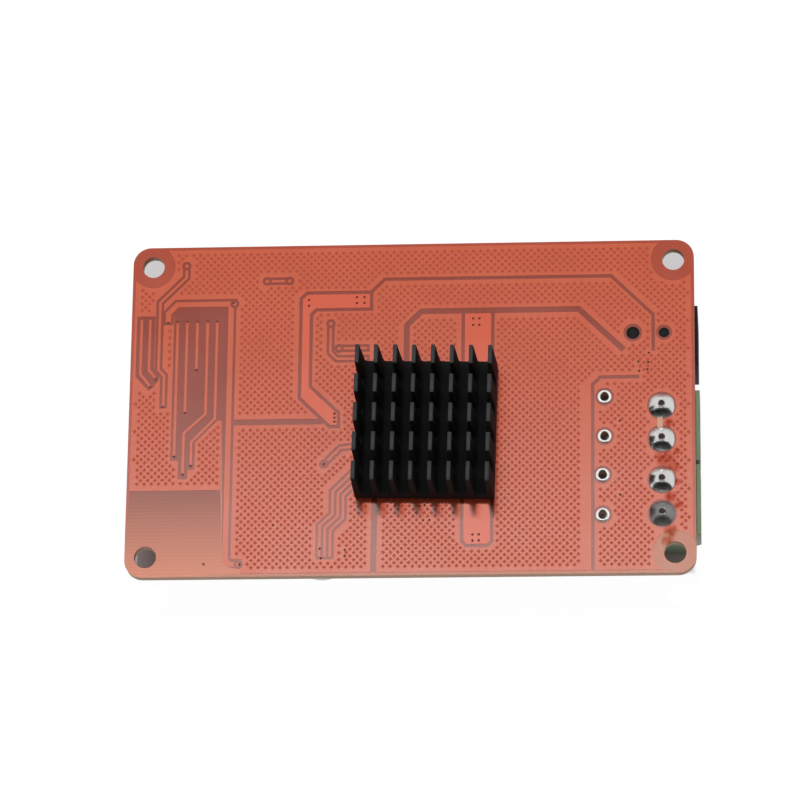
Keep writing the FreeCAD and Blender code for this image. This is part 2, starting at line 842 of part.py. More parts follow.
def gull_lead(x, y, side, body_half, width, thickness, reach, foot, level):
    """One lead that leaves a chip's side, steps down and ends in a flat foot."""
    wall = x + side * body_half
    heel = wall + side * (reach - foot)
    toe = wall + side * reach
    points = [(wall, level), (wall, level + thickness), (heel + side * thickness, thickness), (toe, thickness),
              (toe, 0), (heel, 0)]
    return profile_along_y(points, y - width / 2, y + width / 2)


def lead_rows(x, y, count, pitch, body_half, width, thickness, reach, foot, level):
    """Two rows of leads, one at each side of a chip."""
    leads = []
    for side in (-1, 1):
        for i in range(count):
            place = y + (i - (count - 1) / 2) * pitch
            leads.append(gull_lead(x, place, side, body_half, width, thickness, reach, foot, level))
    return group(leads)


def moulded_chip(x, y, width, length, foot, top):
    """A chip's plastic body, drafted out to its parting line and in again."""
    middle = (foot + top) / 2
    draft = (top - foot) * 0.08
    halves = []
    for end in (foot, top):
        rims = []
        for level, inset in ((middle, 0), (end, draft)):
            half_w = width / 2 - inset
            half_l = length / 2 - inset
            z = component_face - level
            corners = [Vec(x - half_w, y - half_l, z), Vec(x + half_w, y - half_l, z),
                       Vec(x + half_w, y + half_l, z), Vec(x - half_w, y + half_l, z)]
            rims.append(Part.makePolygon(corners + corners[:1]))
        halves.append(Part.makeLoft(rims, True, True))
    return halves[0].fuse(halves[1]).removeSplitter()


def amplifier_chip():
    """The power chip's body, on the other face behind the heatsink."""
    top = chip_stand_off + chip_height
    return moulded_chip(heatsink_x, heatsink_y, chip_width, chip_length, chip_stand_off, top)


def amplifier_leads():
    """The power chip's two rows of leads."""
    level = chip_stand_off + chip_height / 2 - chip_lead_thickness / 2
    return lead_rows(heatsink_x, heatsink_y, chip_leads_per_side, chip_lead_pitch, chip_width / 2,
                     chip_lead_width, chip_lead_thickness, chip_lead_reach, chip_lead_foot, level)


def memory_chip():
    """The memory chip's body."""
    top = chip_stand_off + memory_height
    return moulded_chip(memory_x, memory_y, memory_width, memory_length, chip_stand_off, top)


def memory_leads():
    """The memory chip's two rows of leads."""
    level = chip_stand_off + memory_height / 2 - memory_lead_thickness / 2
    return lead_rows(memory_x, memory_y, memory_leads_per_side, memory_lead_pitch, memory_width / 2,
                     memory_lead_width, memory_lead_thickness, memory_lead_reach, memory_lead_foot, level)


def radio_chip():
    """The leadless radio chip."""
    half = radio_width / 2
    return slab(radio_x - half, radio_x + half, radio_y - half, radio_y + half, 0, radio_height)


def crystal_can():
    """The timing crystal's lidded case."""
    half_l = crystal_length / 2
    half_w = crystal_width / 2
    rim = crystal_width / 10
    case = slab(crystal_x - half_l, crystal_x + half_l, crystal_y - half_w, crystal_y + half_w, 0,
                crystal_height * 0.75)
    lid = slab(crystal_x - half_l + rim, crystal_x + half_l - rim, crystal_y - half_w + rim,
               crystal_y + half_w - rim, crystal_height * 0.75, crystal_height)
    return case.fuse(lid).removeSplitter()


def printed_aerial():
    """The folded copper line over the bare corner, with its feed."""
    left = left_edge + aerial_inset
    right = left + aerial_width
    foot = foot_edge + aerial_foot_inset
    points = [(left, foot)]
    for i in range(aerial_runs):
        y = foot + i * aerial_run_pitch
        ends = (left, right)
        if i % 2:
            ends = (right, left)
        if i > 0:
            points.append((ends[0], y))
        points.append((ends[1], y))
    points.append((points[-1][0], foot_edge + aerial_feed_inset))
    face = strip(points, aerial_line)
    return face.translated(Vec(0, 0, component_face - aerial_copper)).extrude(Vec(0, 0, aerial_copper))


def regulator_body():
    """The voltage regulator's plastic body."""
    return moulded_chip(regulator_x, regulator_y, regulator_width, regulator_depth, chip_stand_off,
                        regulator_height)


def regulator_leads():
    """The regulator's three leads and its wide tab."""
    level = regulator_height / 2
    pieces = []
    for side, count, width in ((-1, 3, regulator_lead_width), (1, 1, regulator_tab_width)):
        wall = regulator_y + side * regulator_depth / 2
        knee = wall + side * regulator_lead_reach / 2
        toe = wall + side * regulator_lead_reach
        step = side * regulator_lead_thickness
        points = [(wall, level), (wall, level + regulator_lead_thickness),
                  (knee, level + regulator_lead_thickness), (knee + step, level),
                  (knee + step, regulator_lead_thickness), (toe, regulator_lead_thickness), (toe, 0),
                  (knee, 0), (knee, level)]
        for i in range(count):
            x = regulator_x + (i - (count - 1) / 2) * regulator_lead_pitch
            pieces.append(profile_along_x(points, x - width / 2, x + width / 2))
    return group(pieces)


def indicator_lamp():
    """The small lamp: a flat base with a clear block on it."""
    half_l = lamp_length / 2
    half_w = lamp_width / 2
    base = slab(lamp_x - half_l, lamp_x + half_l, lamp_y - half_w, lamp_y + half_w, 0, lamp_base)
    dome = slab(lamp_x - half_l * 0.65, lamp_x + half_l * 0.65, lamp_y - half_w, lamp_y + half_w, lamp_base,
                lamp_height)
    return base.fuse(dome).removeSplitter()


def small_row(x, y, count, along_x, length, width, height):
    """A row of like two-ended parts, side by side, with its first one at the given place."""
    pieces = []
    for i in range(count):
        place_x = x + (i * row_step if along_x else 0)
        place_y = y - (0 if along_x else i * row_step)
        reach_x = width / 2 if along_x else length / 2
        reach_y = length / 2 if along_x else width / 2
        pieces.append(slab(place_x - reach_x, place_x + reach_x, place_y - reach_y, place_y + reach_y, 0,
                           height))
    return pieces


def small_capacitors():
    """The ceramic capacitors round the power chip and the regulator."""
    pieces = []
    rows = [(x, chip_cap_row_y, chip_cap_row_count, False) for x in chip_cap_row_x]
    for inset, y, count, level in zip(left_cap_row_inset, left_cap_row_y, left_cap_row_count,
                                      left_cap_row_level):
        rows.append((left_edge + inset, y, count, level))
    for x, y, count, level in rows:
        pieces += small_row(x, y, count, level, small_cap_length, small_cap_width, small_cap_height)
    return group(pieces)


def small_resistors():
    """The chip resistors between the radio and power sections."""
    pieces = []
    rows = [(chip_resistor_row_x, chip_resistor_row_y, chip_resistor_row_count, True)]
    for inset, y, count, level in zip(left_resistor_row_inset, left_resistor_row_y,
                                      left_resistor_row_count, left_resistor_row_level):
        rows.append((left_edge + inset, y, count, level))
    for x, y, count, level in rows:
        pieces += small_row(x, y, count, level, small_resistor_length, small_resistor_width,
                            small_resistor_height)
    return group(pieces)


def build_terminals():
    """All pieces of the screw terminals and their solder joints."""
    pins = terminal_pins()
    for block in range(block_count):
        first_pin = pins[block * poles_per_block][1]
        export(terminal_housing(first_pin), "terminal_housing_" + str(block + 1))
    for number, (x, y) in enumerate(pins, 1):
        export(terminal_contact(y), "terminal_contact_" + str(number))
        export(terminal_cage(y), "terminal_cage_" + str(number))
        export(terminal_screw(y), "terminal_screw_" + str(number))
        export(solder_joint(x, y), "solder_joint_" + str(number))


def build_power_parts():
    """The power socket, the capacitors, the chokes and the amplifier chip."""
    export(socket_housing(), "socket_housing")
    export(socket_pin(), "socket_centre_pin")
    export(socket_spring(), "socket_spring")
    export(socket_tabs(), "socket_tabs")
    for number, (x, y) in enumerate(can_places(), 1):
        export(capacitor_can(x, y), "capacitor_can_" + str(number))
        export(capacitor_base(x, y), "capacitor_base_" + str(number))
        export(capacitor_leads(x, y), "capacitor_leads_" + str(number))
    for number in range(choke_count):
        y = choke_first_y - number * choke_pitch
        export(choke_shield(y), "choke_shield_" + str(number + 1))
        export(choke_core(y), "choke_core_" + str(number + 1))
        export(choke_clips(y), "choke_clips_" + str(number + 1))
    export(amplifier_chip(), "amplifier_chip")
    export(amplifier_leads(), "amplifier_leads")


def build_signal_parts():
    """The radio side of the board."""
    export(radio_chip(), "radio_chip")
    export(crystal_can(), "crystal_can")
    export(printed_aerial(), "printed_aerial")
    export(memory_chip(), "memory_chip")
    export(memory_leads(), "memory_leads")
    export(regulator_body(), "regulator_body")
    export(regulator_leads(), "regulator_leads")
    export(indicator_lamp(), "indicator_lamp")
    export(small_capacitors(), "small_capacitors")
    export(small_resistors(), "small_resistors")


os.makedirs("parts", exist_ok=True)
export(circuit_board(), "circuit_board")
export(group([wire_hole_plating(x, y) for x, y in wire_holes()]), "wire_hole_plating")
export(heatsink(), "heatsink")
export(bonding_pad(), "bonding_pad")
build_terminals()
build_power_parts()
build_signal_parts()
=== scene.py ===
"""Audio amplifier board, lying solder side up on a white ground.

Metres, in the same frame as the solid model: the origin is the middle of the fixing holes on the
solder face, +X runs towards the sockets and +Z out of the solder face.
"""
import itertools
import json
import math

import bmesh
import bpy
from mathutils import Matrix, Vector
from mathutils.bvhtree import BVHTree
from mathutils.geometry import delaunay_2d_cdt
from mathutils.kdtree import KDTree

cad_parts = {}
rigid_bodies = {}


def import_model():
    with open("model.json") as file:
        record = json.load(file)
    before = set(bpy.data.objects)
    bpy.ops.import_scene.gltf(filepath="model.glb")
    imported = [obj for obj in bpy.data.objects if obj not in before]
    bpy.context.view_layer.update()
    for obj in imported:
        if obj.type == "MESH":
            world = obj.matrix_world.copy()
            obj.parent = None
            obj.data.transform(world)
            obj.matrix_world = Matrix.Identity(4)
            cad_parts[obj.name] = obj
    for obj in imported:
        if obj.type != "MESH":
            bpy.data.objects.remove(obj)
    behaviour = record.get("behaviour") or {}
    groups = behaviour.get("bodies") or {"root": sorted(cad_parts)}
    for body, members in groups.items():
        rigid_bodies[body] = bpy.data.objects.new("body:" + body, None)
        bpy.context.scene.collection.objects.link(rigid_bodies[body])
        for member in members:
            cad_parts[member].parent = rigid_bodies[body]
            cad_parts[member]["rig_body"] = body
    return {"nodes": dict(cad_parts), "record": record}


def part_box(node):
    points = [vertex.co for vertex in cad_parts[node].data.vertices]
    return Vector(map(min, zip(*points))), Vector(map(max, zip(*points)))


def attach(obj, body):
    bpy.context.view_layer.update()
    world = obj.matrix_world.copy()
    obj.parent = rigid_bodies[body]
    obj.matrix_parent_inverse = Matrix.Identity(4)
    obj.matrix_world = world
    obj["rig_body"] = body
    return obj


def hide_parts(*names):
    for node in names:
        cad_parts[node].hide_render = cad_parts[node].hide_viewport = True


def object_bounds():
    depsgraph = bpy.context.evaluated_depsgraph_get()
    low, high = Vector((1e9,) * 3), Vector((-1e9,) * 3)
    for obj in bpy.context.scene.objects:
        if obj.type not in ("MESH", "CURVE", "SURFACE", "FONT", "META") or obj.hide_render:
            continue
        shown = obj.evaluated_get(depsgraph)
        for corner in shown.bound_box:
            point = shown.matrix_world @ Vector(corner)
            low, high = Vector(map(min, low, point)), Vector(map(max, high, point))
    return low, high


bl_info = {
    "name": "Audio amplifier board",
    "version": (1, 0, 0),
    "blender": (4, 5, 0),
    "location": "View3D > Sidebar > Amplifier",
    "description": "Dresses the amplifier board's solid model with its finishes and fine detail",
    "category": "Object",
}

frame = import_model()
cad_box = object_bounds()

MM = 0.001
BOARD_BODY = "board"
BOARD_LOW, BOARD_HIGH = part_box("circuit_board")
SOLDER_FACE = BOARD_HIGH.z
COMPONENT_FACE = BOARD_LOW.z
WHITE = (1, 1, 1, 1)


def middle_of(name):
    """The middle of a solid's box, in metres."""
    low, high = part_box(name)
    return (low + high) / 2


def corners_of(points):
    """The lowest and highest corner of the box round some points."""
    return [Vector([pick(point[axis] for point in points) for axis in range(3)]) for pick in (min, max)]


def linear(code):
    """An sRGB hex colour as the linear values that a shader takes."""
    channels = []
    for start in (1, 3, 5):
        share = int(code[start:start + 2], 16) / 255
        channels.append(share / 12.92 if share <= 0.04045 else ((share + 0.055) / 1.055) ** 2.4)
    return tuple(channels)


def colour_property(name, description, code):
    """A colour setting whose default is given as a hex code."""
    return bpy.props.FloatVectorProperty(name=name, description=description, subtype="COLOR", size=3,
                                         min=0, max=1, default=linear(code))


def length_property(name, description, millimetres):
    """A length setting whose default is given in millimetres."""
    return bpy.props.FloatProperty(name=name, description=description, default=millimetres * MM,
                                   min=0, unit="LENGTH", precision=5)


class AmplifierColours(bpy.types.PropertyGroup):
    """Colours of the finishes."""

    mask_on_copper: colour_property("Mask on copper", "Solder mask where copper lies under it", "#BF512E")
    mask_on_solid: colour_property("Mask on solid copper", "Mask on the wide unhatched runs", "#CB5130")
    mask_in_hatch: colour_property("Mask in hatch", "Mask at the bottom of the hatch openings", "#A83F26")
    mask_on_laminate: colour_property("Mask on laminate", "Mask where the copper is etched away", "#86301A")
    mask_on_disc: colour_property("Mask round fixing holes", "Mask on the bare rings of the fixing holes",
                                  "#A33B1E")
    mask_on_pale: colour_property("Pale mask", "Thin mask on the pale disc and the corner's inner rim",
                                  "#AC5D38")
    # Painted light and shade: the clear corner is painted from its shaded colour at the inner end to its lit
    # colour near the edge.
    clear_painted_shade: colour_property("Clear corner, shaded", "Mask with no copper on either side, inner end",
                                "#7D3015")
    clear_painted_light: colour_property("Clear corner, lit", "The same mask near the edge, where light comes in",
                                 "#BB633E")
    laminate_edge: colour_property("Laminate edge", "Routed edge of the glass laminate", "#C9A58C")
    anodising: colour_property("Anodising", "Dye of the heatsink's anodised skin", "#101112")
    solder: colour_property("Solder", "Bright soldered metal", "#D9DAD8")
    tin: colour_property("Tin", "Tinned copper and leads", "#E4E4E0")
    terminal_green: colour_property("Terminal green", "Moulded nylon of the screw terminals", "#657859")
    socket_black: colour_property("Socket black", "Moulded nylon of the power socket", "#0F1011")
    can_metal: colour_property("Can metal", "Drawn aluminium of the capacitor cans", "#D5D7D8")
    ferrite: colour_property("Ferrite", "Pressed ferrite of the chokes", "#3A3B3D")
    epoxy: colour_property("Epoxy", "Moulded epoxy of the chips", "#1E1F21")
    flux: colour_property("Flux", "Dried flux between the solder joints", "#8C2413")


class AmplifierSizes(bpy.types.PropertyGroup):
    """Sizes of the fine detail."""

    hatch_pitch: length_property("Hatch pitch", "Distance between the hatch lines of the copper pour", 0.745)
    hatch_opening: length_property("Hatch opening", "Side of one square opening in the pour", 0.44)
    hatch_margin: length_property("Hatch margin", "Unhatched copper left beside every gap", 0.52)
    hatch_depth: length_property("Hatch depth", "How far the mask sinks into an opening", 0.04)
    via_radius: length_property("Via radius", "Radius of the masked via dimples", 0.19)
    via_depth: length_property("Via depth", "Depth of the via dimples", 0.12)
    backdrop_size: length_property("Backdrop size", "Side of the white ground", 4000)
    key_size: length_property("Key lamp size", "Length of the large soft lamp above the board", 400)


def shade(name):
    """A colour setting in use, by its name."""
    return tuple(getattr(bpy.context.scene.amplifier_colours, name))


def sizes():
    """The size settings in use."""
    return bpy.context.scene.amplifier_sizes


# Shared makers


def add(tree, kind, inputs=None, **settings):
    """Add one shader node, set it up, and fill or link its inputs."""
    node = tree.nodes.new("ShaderNode" + kind)
    for name, value in settings.items():
        setattr(node, name, value)
    for key, value in (inputs or {}).items():
        if isinstance(value, bpy.types.NodeSocket):
            tree.links.new(value, node.inputs[key])
        else:
            node.inputs[key].default_value = value
    return node


def math_node(tree, operation, *values):
    """The outcome of one piece of arithmetic on values that may be patterns."""
    return add(tree, "Math", dict(enumerate(values)), operation=operation).outputs[0]


def cleared(owner):
    """The empty node tree of a material or world."""
    owner.use_nodes = True
    owner.node_tree.nodes.clear()
    return owner.node_tree


def placed(name, data):
    """A new object in the scene."""
    piece = bpy.data.objects.new(name, data)
    bpy.context.scene.collection.objects.link(piece)
    return piece


def shaded(colour, amount):
    """A colour made lighter or darker by a factor."""
    return tuple(min(1, channel * amount) for channel in colour)


class Finish:
    """A material under construction, with a point in millimetres to hang patterns on."""

    def __init__(self, name):
        """Start an empty material."""
        self.material = bpy.data.materials.new(name)
        self.tree = cleared(self.material)
        place = self.add("TexCoord").outputs["Object"]
        self.mm = self.add("VectorMath", {0: place, "Scale": 1 / MM}, operation="SCALE").outputs[0]

    def add(self, kind, inputs=None, **settings):
        """Add one node to this material."""
        return add(self.tree, kind, inputs, **settings)

    def math(self, operation, *values):
        """The outcome of one piece of arithmetic on values that may be patterns."""
        return math_node(self.tree, operation, *values)

    def along(self, axis):
        """The point's distance along one axis, in millimetres."""
        return self.add("SeparateXYZ", {0: self.mm}).outputs[axis]

    def noise(self, size_mm, detail=3.0, stretch=(1, 1, 1)):
        """Cloudy noise whose grains are about the given size."""
        place = self.add("Mapping", {"Vector": self.mm, "Scale": stretch}).outputs[0]
        return self.add("TexNoise", {"Vector": place, "Scale": 1 / size_mm, "Detail": detail}).outputs[0]

    def mixed(self, share, first, second):
        """A colour between two, by a share that may be a pattern."""
        values = {0: share}
        for key, colour in ((6, first), (7, second)):
            values[key] = colour if isinstance(colour, bpy.types.NodeSocket) else (*colour, 1)
        return self.add("Mix", values, data_type="RGBA").outputs[2]

    def ranged(self, value, low, high, out_low, out_high):
        """A value carried from one range to another."""
        return self.add("MapRange", {"Value": value, "From Min": low, "From Max": high, "To Min": out_low,
                                     "To Max": out_high}).outputs[0]

    def bump(self, height, depth_mm, strength=1.0):
        """A normal that follows a height pattern of a real depth."""
        return self.add("Bump", {"Height": height, "Distance": depth_mm * MM,
                                 "Strength": strength}).outputs[0]

    def done(self, inputs):
        """Close the material with its surface shader."""
        shader = self.add("BsdfPrincipled", inputs)
        self.add("OutputMaterial", {"Surface": shader.outputs[0]})
        return self.material


def welded(node_name):
    """A solid's own form as an editable mesh, with shared corners and whole flat faces."""
    form = bmesh.new()
    form.from_mesh(frame["nodes"][node_name].data)
    bmesh.ops.remove_doubles(form, verts=form.verts, dist=0.001 * MM)
    bmesh.ops.dissolve_limit(form, angle_limit=math.radians(0.5), verts=form.verts, edges=form.edges)
    return form


def soften(form, round_mm, sharpest):
    """Round the sharp edges of a form by a small width."""
    limit = math.radians(sharpest)
    edges = [edge for edge in form.edges if edge.is_manifold and edge.calc_face_angle(0) > limit]
    bmesh.ops.bevel(form, geom=edges, offset=round_mm * MM, segments=2, profile=0.5, affect="EDGES",
                    clamp_overlap=True)


def finish_form(form, name, materials, smooth_below=35):
    """Turn a form into an object that is smooth apart from its sharp edges."""
    mesh = bpy.data.meshes.new(name)
    bmesh.ops.recalc_face_normals(form, faces=form.faces)
    form.to_mesh(mesh)
    form.free()
    for material in materials:
        mesh.materials.append(material)
    mesh.shade_smooth()
    mesh.set_sharp_from_angle(angle=math.radians(smooth_below))
    return placed(name, mesh)


def seat(piece, body, nodes=()):
    """Let a piece ride on its body and the solids that it stands for."""
    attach(piece, body)
    if nodes:
        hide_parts(*nodes)
    return piece


def dress(node_name, material, round_mm, sharpest=35):
    """A rounded copy of a solid that takes its place."""
    form = welded(node_name)
    soften(form, round_mm, sharpest)
    piece = finish_form(form, node_name + "_dressed", [material])
    solid = frame["nodes"][node_name]
    return seat(piece, solid["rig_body"], [node_name])


def paint(node_name, material):
    """Give a solid that stays as it is a better finish."""
    slots = frame["nodes"][node_name].data.materials
    slots.clear()
    slots.append(material)


def numbered(prefix):
    """The solids whose names start alike, in order."""
    return sorted(name for name in frame["nodes"] if name.startswith(prefix))


def dress_all(prefix, material, round_mm, sharpest=35):
    """Rounded copies of all the solids whose names start alike."""
    return [dress(name, material, round_mm, sharpest) for name in numbered(prefix)]


def paint_all(prefix, material):
    """Give all the solids whose names start alike a better finish."""
    for name in numbered(prefix):
        paint(name, material)


# Finishes

MASK_IOR = 1.42
# Dried flux: plan place and reach of each stain, in millimetres
FLUX_STAINS = (
    (37.3, -2.8, 0.7), (36.6, -8.0, 1.3), (37.8, -9.4, 0.9), (37.4, -13.8, 0.8), (37.4, -18.8, 0.9),
    (37.0, -20.3, 0.8), (38.3, -7.0, 0.5), (38.5, -15.0, 0.6), (38.3, -11.6, 0.5),
)


def glossy_solder_mask(name, colour, roughness=0.18, ior=MASK_IOR):
    """Liquid solder mask, flooded and baked: a smooth glossy skin with a faint orange peel."""
    finish = Finish(name)
    cloud = finish.noise(9.0)
    body = finish.mixed(cloud, shaded(colour, 0.95), shaded(colour, 1.05))
    peel = finish.noise(0.5, 2.0)
    rough = finish.ranged(cloud, 0.3, 0.7, roughness - 0.03, roughness + 0.03)
    stained, rough = flux_stained(finish, body, rough)
    return finish.done({"Base Color": stained, "Roughness": rough, "IOR": ior,
                        "Normal": finish.bump(peel, 0.004, 0.3)})


def flux_stained(finish, body, rough):
    """Colour and roughness with the red flux that was left to dry round the solder joints."""
    total = None
    for x, y, reach in FLUX_STAINS:
        gap = finish.add("VectorMath", {0: finish.mm, 1: (x, y, 0)}, operation="DISTANCE").outputs[1]
        near = finish.ranged(gap, reach * 0.45, reach * 1.35, 1.0, 0.0)
        total = near if total is None else finish.math("MAXIMUM", total, near)
    streaks = finish.noise(0.55, 4.0, (1, 0.5, 1))
    patchy = finish.ranged(streaks, 0.38, 0.6, 0.35, 1.0)
    strong = finish.ranged(finish.math("MULTIPLY", total, patchy), 0.0, 1.0, 0.0, 0.8)
    dull = finish.math("MULTIPLY_ADD", strong, 0.5, rough)
    return finish.mixed(strong, body, shade("flux")), dull


def mask_over_woven_glass(name, dark, light, thread_mm=0.52):
    """Mask on clear laminate: threads of glass print through, and painted light makes it paler towards the
    edge, where light comes in.
    """
    finish = Finish(name)
    # Painted light: the colour grows paler from y = -12.5 mm out to the edge at -24 mm.
    lit = finish.ranged(finish.along(1), -12.5, -24.0, 0.0, 1.0)
    colour = finish.mixed(lit, dark, light)
    wander = finish.noise(4.0, 2.0, (0.25, 1, 1))
    threads = finish.add("TexWave", {"Vector": finish.mm, "Scale": 0.314 / thread_mm, "Distortion": 1.6,
                                     "Detail": 2.0, "Detail Scale": 0.6}, bands_direction="Y").outputs[1]
    share = finish.math("MULTIPLY", threads, wander)
    pale = finish.mixed(lit, shaded(dark, 1.35), shaded(light, 1.2))
    stained, rough = flux_stained(finish, finish.mixed(share, colour, pale), 0.2)
    return finish.done({"Base Color": stained, "Roughness": rough, "IOR": MASK_IOR,
                        "Normal": finish.bump(threads, 0.004, 0.25)})


def grained(name, size_mm, dark, pale, roughness, relief=(), detail=3.0, stretch=(1, 1, 1), clearness=0.0):
    """A plain finish: one grain between two shades, which can be felt where a relief is given."""
    finish = Finish(name)
    grain = finish.noise(size_mm, detail, stretch)
    inputs = {"Base Color": finish.mixed(grain, dark, pale), "Roughness": roughness,
              "Transmission Weight": clearness}
    if relief:
        inputs["Normal"] = finish.bump(grain, *relief)
    return finish.done(inputs)


def routed_glass_laminate(name, colour):
    """Glass and epoxy laminate, routed: a matt tan edge with lines of cut cloth."""
    return grained(name, 0.22, shaded(colour, 0.72), shaded(colour, 1.12), 0.75, (0.03, 0.5),
                   stretch=(0.08, 0.08, 1))


def dark_via_wall(name):
    """The dimple of a masked via: dark red-brown, partly from the thick mask in it and partly as painted
    shade of the hollow via under it.
    """
    return grained(name, 0.1, linear("#4E1E14"), linear("#6E2E20"), 0.6)


def black_anodised_aluminium(name, colour, tip_level):
    """Extruded aluminium, saw-cut and dyed black: fine cut lines, with painted light that makes the tips
    paler and painted shade that darkens everything below them.
    """
    finish = Finish(name)
    lines = finish.noise(0.18, 4.0, (1, 0.06, 1))
    cloud = finish.noise(3.0)
    # Painted light and shade: the top half millimetre of the fins is painted paler, and everything below it
    # is painted darker.
    painted_tip_light = finish.ranged(finish.along(2), tip_level - 0.5, tip_level, 0.0, 1.0)
    painted_shade_body = finish.mixed(cloud, shaded(colour, 0.3), shaded(colour, 0.6))
    body = finish.mixed(painted_tip_light, painted_shade_body, shaded(colour, 4.5))
    dull = finish.ranged(painted_tip_light, 0.0, 1.0, 0.8, 0.42)
    rough = finish.math("ADD", dull, finish.ranged(lines, 0.25, 0.75, -0.05, 0.05))
    return finish.done({"Base Color": body, "Roughness": rough, "IOR": 1.3,
                        "Normal": finish.bump(lines, 0.012, 0.5)})


def bright_solder(name, colour, roughness=0.14):
    """Lead-free solder, frozen from melt: a bright skin with faint wrinkles and pits of flux."""
    finish = Finish(name)
    skin = finish.noise(0.7, 4.0)
    grain = finish.noise(0.12, 2.0)
    body = finish.mixed(skin, shaded(colour, 0.82), colour)
    rough = finish.ranged(grain, 0.3, 0.7, roughness, roughness + 0.12)
    return finish.done({"Base Color": body, "Metallic": 1.0, "Roughness": rough,
                        "Normal": finish.bump(skin, 0.05, 0.45)})


def satin_metal(name, colour, roughness=0.3, grain_mm=0.15, stretch=(1, 1, 1), relief=0.35):
    """Plated or drawn metal with a fine grain from its rolling."""
    finish = Finish(name)
    grain = finish.noise(grain_mm, 3.0, stretch)
    body = finish.mixed(grain, shaded(colour, 0.88), colour)
    rough = finish.ranged(grain, 0.3, 0.7, roughness - 0.06, roughness + 0.08)
    return finish.done({"Base Color": body, "Metallic": 1.0, "Roughness": rough,
                        "Normal": finish.bump(grain, 0.008, relief)})


def moulded_plastic(name, colour, roughness=0.42, grain_mm=0.25, depth_mm=0.012, ior=1.52):
    """Injection-moulded plastic with the fine spark-eroded grain of its mould."""
    finish = Finish(name)
    grain = finish.noise(grain_mm, 2.0)
    cloud = finish.noise(5.0)
    body = finish.mixed(cloud, shaded(colour, 0.93), shaded(colour, 1.07))
    rough = finish.ranged(grain, 0.3, 0.7, roughness - 0.05, roughness + 0.08)
    return finish.done({"Base Color": body, "Roughness": rough, "IOR": ior,
                        "Normal": finish.bump(grain, depth_mm, 0.5)})


def pressed_ferrite(name, colour):
    """Sintered ferrite powder: dark grey, matt and slightly speckled."""
    return grained(name, 0.12, shaded(colour, 0.7), shaded(colour, 1.5), 0.66, (0.02, 0.6), 4.0)


def fired_ceramic(name, colour):
    """Fired ceramic of the chip capacitors: smooth, tan and slightly uneven."""
    return grained(name, 0.6, shaded(colour, 0.85), shaded(colour, 1.1), 0.4)


def soft_thermal_pad(name):
    """Filled silicone pad: pale grey, matt and soft."""
    return grained(name, 0.2, linear("#B4B8BC"), linear("#CDD0D3"), 0.85, (0.02, 0.4))


def clear_lamp_resin(name):
    """Cast clear resin over the lamp's die."""
    return grained(name, 0.8, linear("#DDE6DC"), linear("#EFF3EC"), 0.15, clearness=0.5)


# Circuit board

# Depth of the etched gaps, and plan sizes of the round zones, in millimetres
GAP_DEPTH = 0.06
RIM_WIDTH = 0.55
CORNER_RIM_LEVEL = -12.75
FIXING_DISC_RADIUS = 3.25
JOINT_GAP_RADIUS = 2.1
WIRE_GAP_RADIUS = 1.35
WIRE_RING_SPAN = 2.4
TRACE_PAD_RADIUS = 0.26
TRACE_GAP_RADIUS = 0.68
ZONE_SIDES = 48
VIA_SIDES = 10
PEG_GAPS = ((32.12, 10.89, 1.35), (36.62, 10.89, 1.15))
# Plan places on the solder side in millimetres, judged from the photograph
TRACE_ENDS = (
    (-33.1, 22.1), (-21.2, 19.55), (-17.9, 19.55), (-11.75, 12.9), (-10.5, 9.1), (-12.4, -8.4),
    (-25.9, 16.15), (-24.5, -23.2),
)
VIA_PLACES = (
    (-34.2, 13.5), (-32.8, 13.5), (-31.3, 13.5), (-29.8, 13.5), (-28.4, 13.5), (-31.3, 6.1), (-32.8, -0.4),
    (-34.2, -7.0), (-32.9, -9.7), (-31.75, -8.4), (-36.1, 0.5), (-35.6, 13.4),
    (-37.2, 4.7), (-38.0, 3.6), (-15.0, 16.6), (-15.0, 15.7),
    (-8.0, 16.9), (-6.9, 16.9), (-8.0, 16.0), (-6.9, 16.0), (-11.0, -0.8), (-11.0, -1.4), (-11.0, -2.0),
    (9.0, 13.4), (9.9, 13.4), (9.0, 12.4), (9.9, 12.4), (9.1, -19.1), (10.0, -19.1), (9.1, -20.0),
    (10.0, -20.0), (-12.8, -21.0), (-12.6, -22.4), (-29.5, -23.1), (-19.6, -17.4), (-9.2, -21.2),
    (-9.2, -22.1), (30.2, -2.4), (30.2, -13.4), (34.4, 7.8), (34.3, 6.4), (32.9, 6.5), (33.0, 5.1),
    (34.2, 5.3), (2.0, -16.9), (2.9, -16.9), (1.5, -14.8), (2.2, -14.7),
    (-26.1, 16.3), (-12.4, -8.4), (-24.3, -23.2),
)
CLEAR_CORNER = (
    (-41, -12.0), (-26.8, -12.0), (-26.8, -22.8), (-26.0, -23.75), (-24.1, -23.75), (-24.1, -25), (-41, -25),
)
BRIGHT_RUNS = (
    ((-16.2, 17.6), (-5.8, 17.6), (-5.8, 15.0), (-14.6, 15.0), (-14.6, 3.4), (-10.4, -0.7), (-10.4, -2.8),
     (-11.7, -2.8), (-16.2, 1.6)),
    ((7.55, 14.6), (11.85, 14.6), (11.85, -20.7), (7.55, -20.7)),
)
UNHATCHED_RUNS = (*BRIGHT_RUNS, ((24.6, -25), (26.6, -25), (26.6, 3.4), (24.6, 3.4)))


def flat_key(point):
    """A point's place on the board as a key that near-equal points share."""
    return round(point.x / MM, 3), round(point.y / MM, 3)


def level_lines(level):
    """Edges round the board's upward faces near a level, as pairs of plan keys."""
    mesh = frame["nodes"]["circuit_board"].data
    counts = {}
    for face in mesh.polygons:
        if face.normal.z < 0.9 or abs(face.center.z / MM - level) > GAP_DEPTH / 2:
            continue
        keys = [flat_key(mesh.vertices[index].co) for index in face.vertices]
        for first, second in zip(keys, keys[1:] + keys[:1]):
            pair = (min(first, second), max(first, second))
            counts[pair] = counts.get(pair, 0) + 1
    return [pair for pair, count in counts.items() if count == 1]


def circle(x, y, radius, count):
    """Points of a circle in plan, in millimetres."""
    return [(x + radius * math.cos(2 * math.pi * i / count), y + radius * math.sin(2 * math.pi * i / count))
            for i in range(count)]


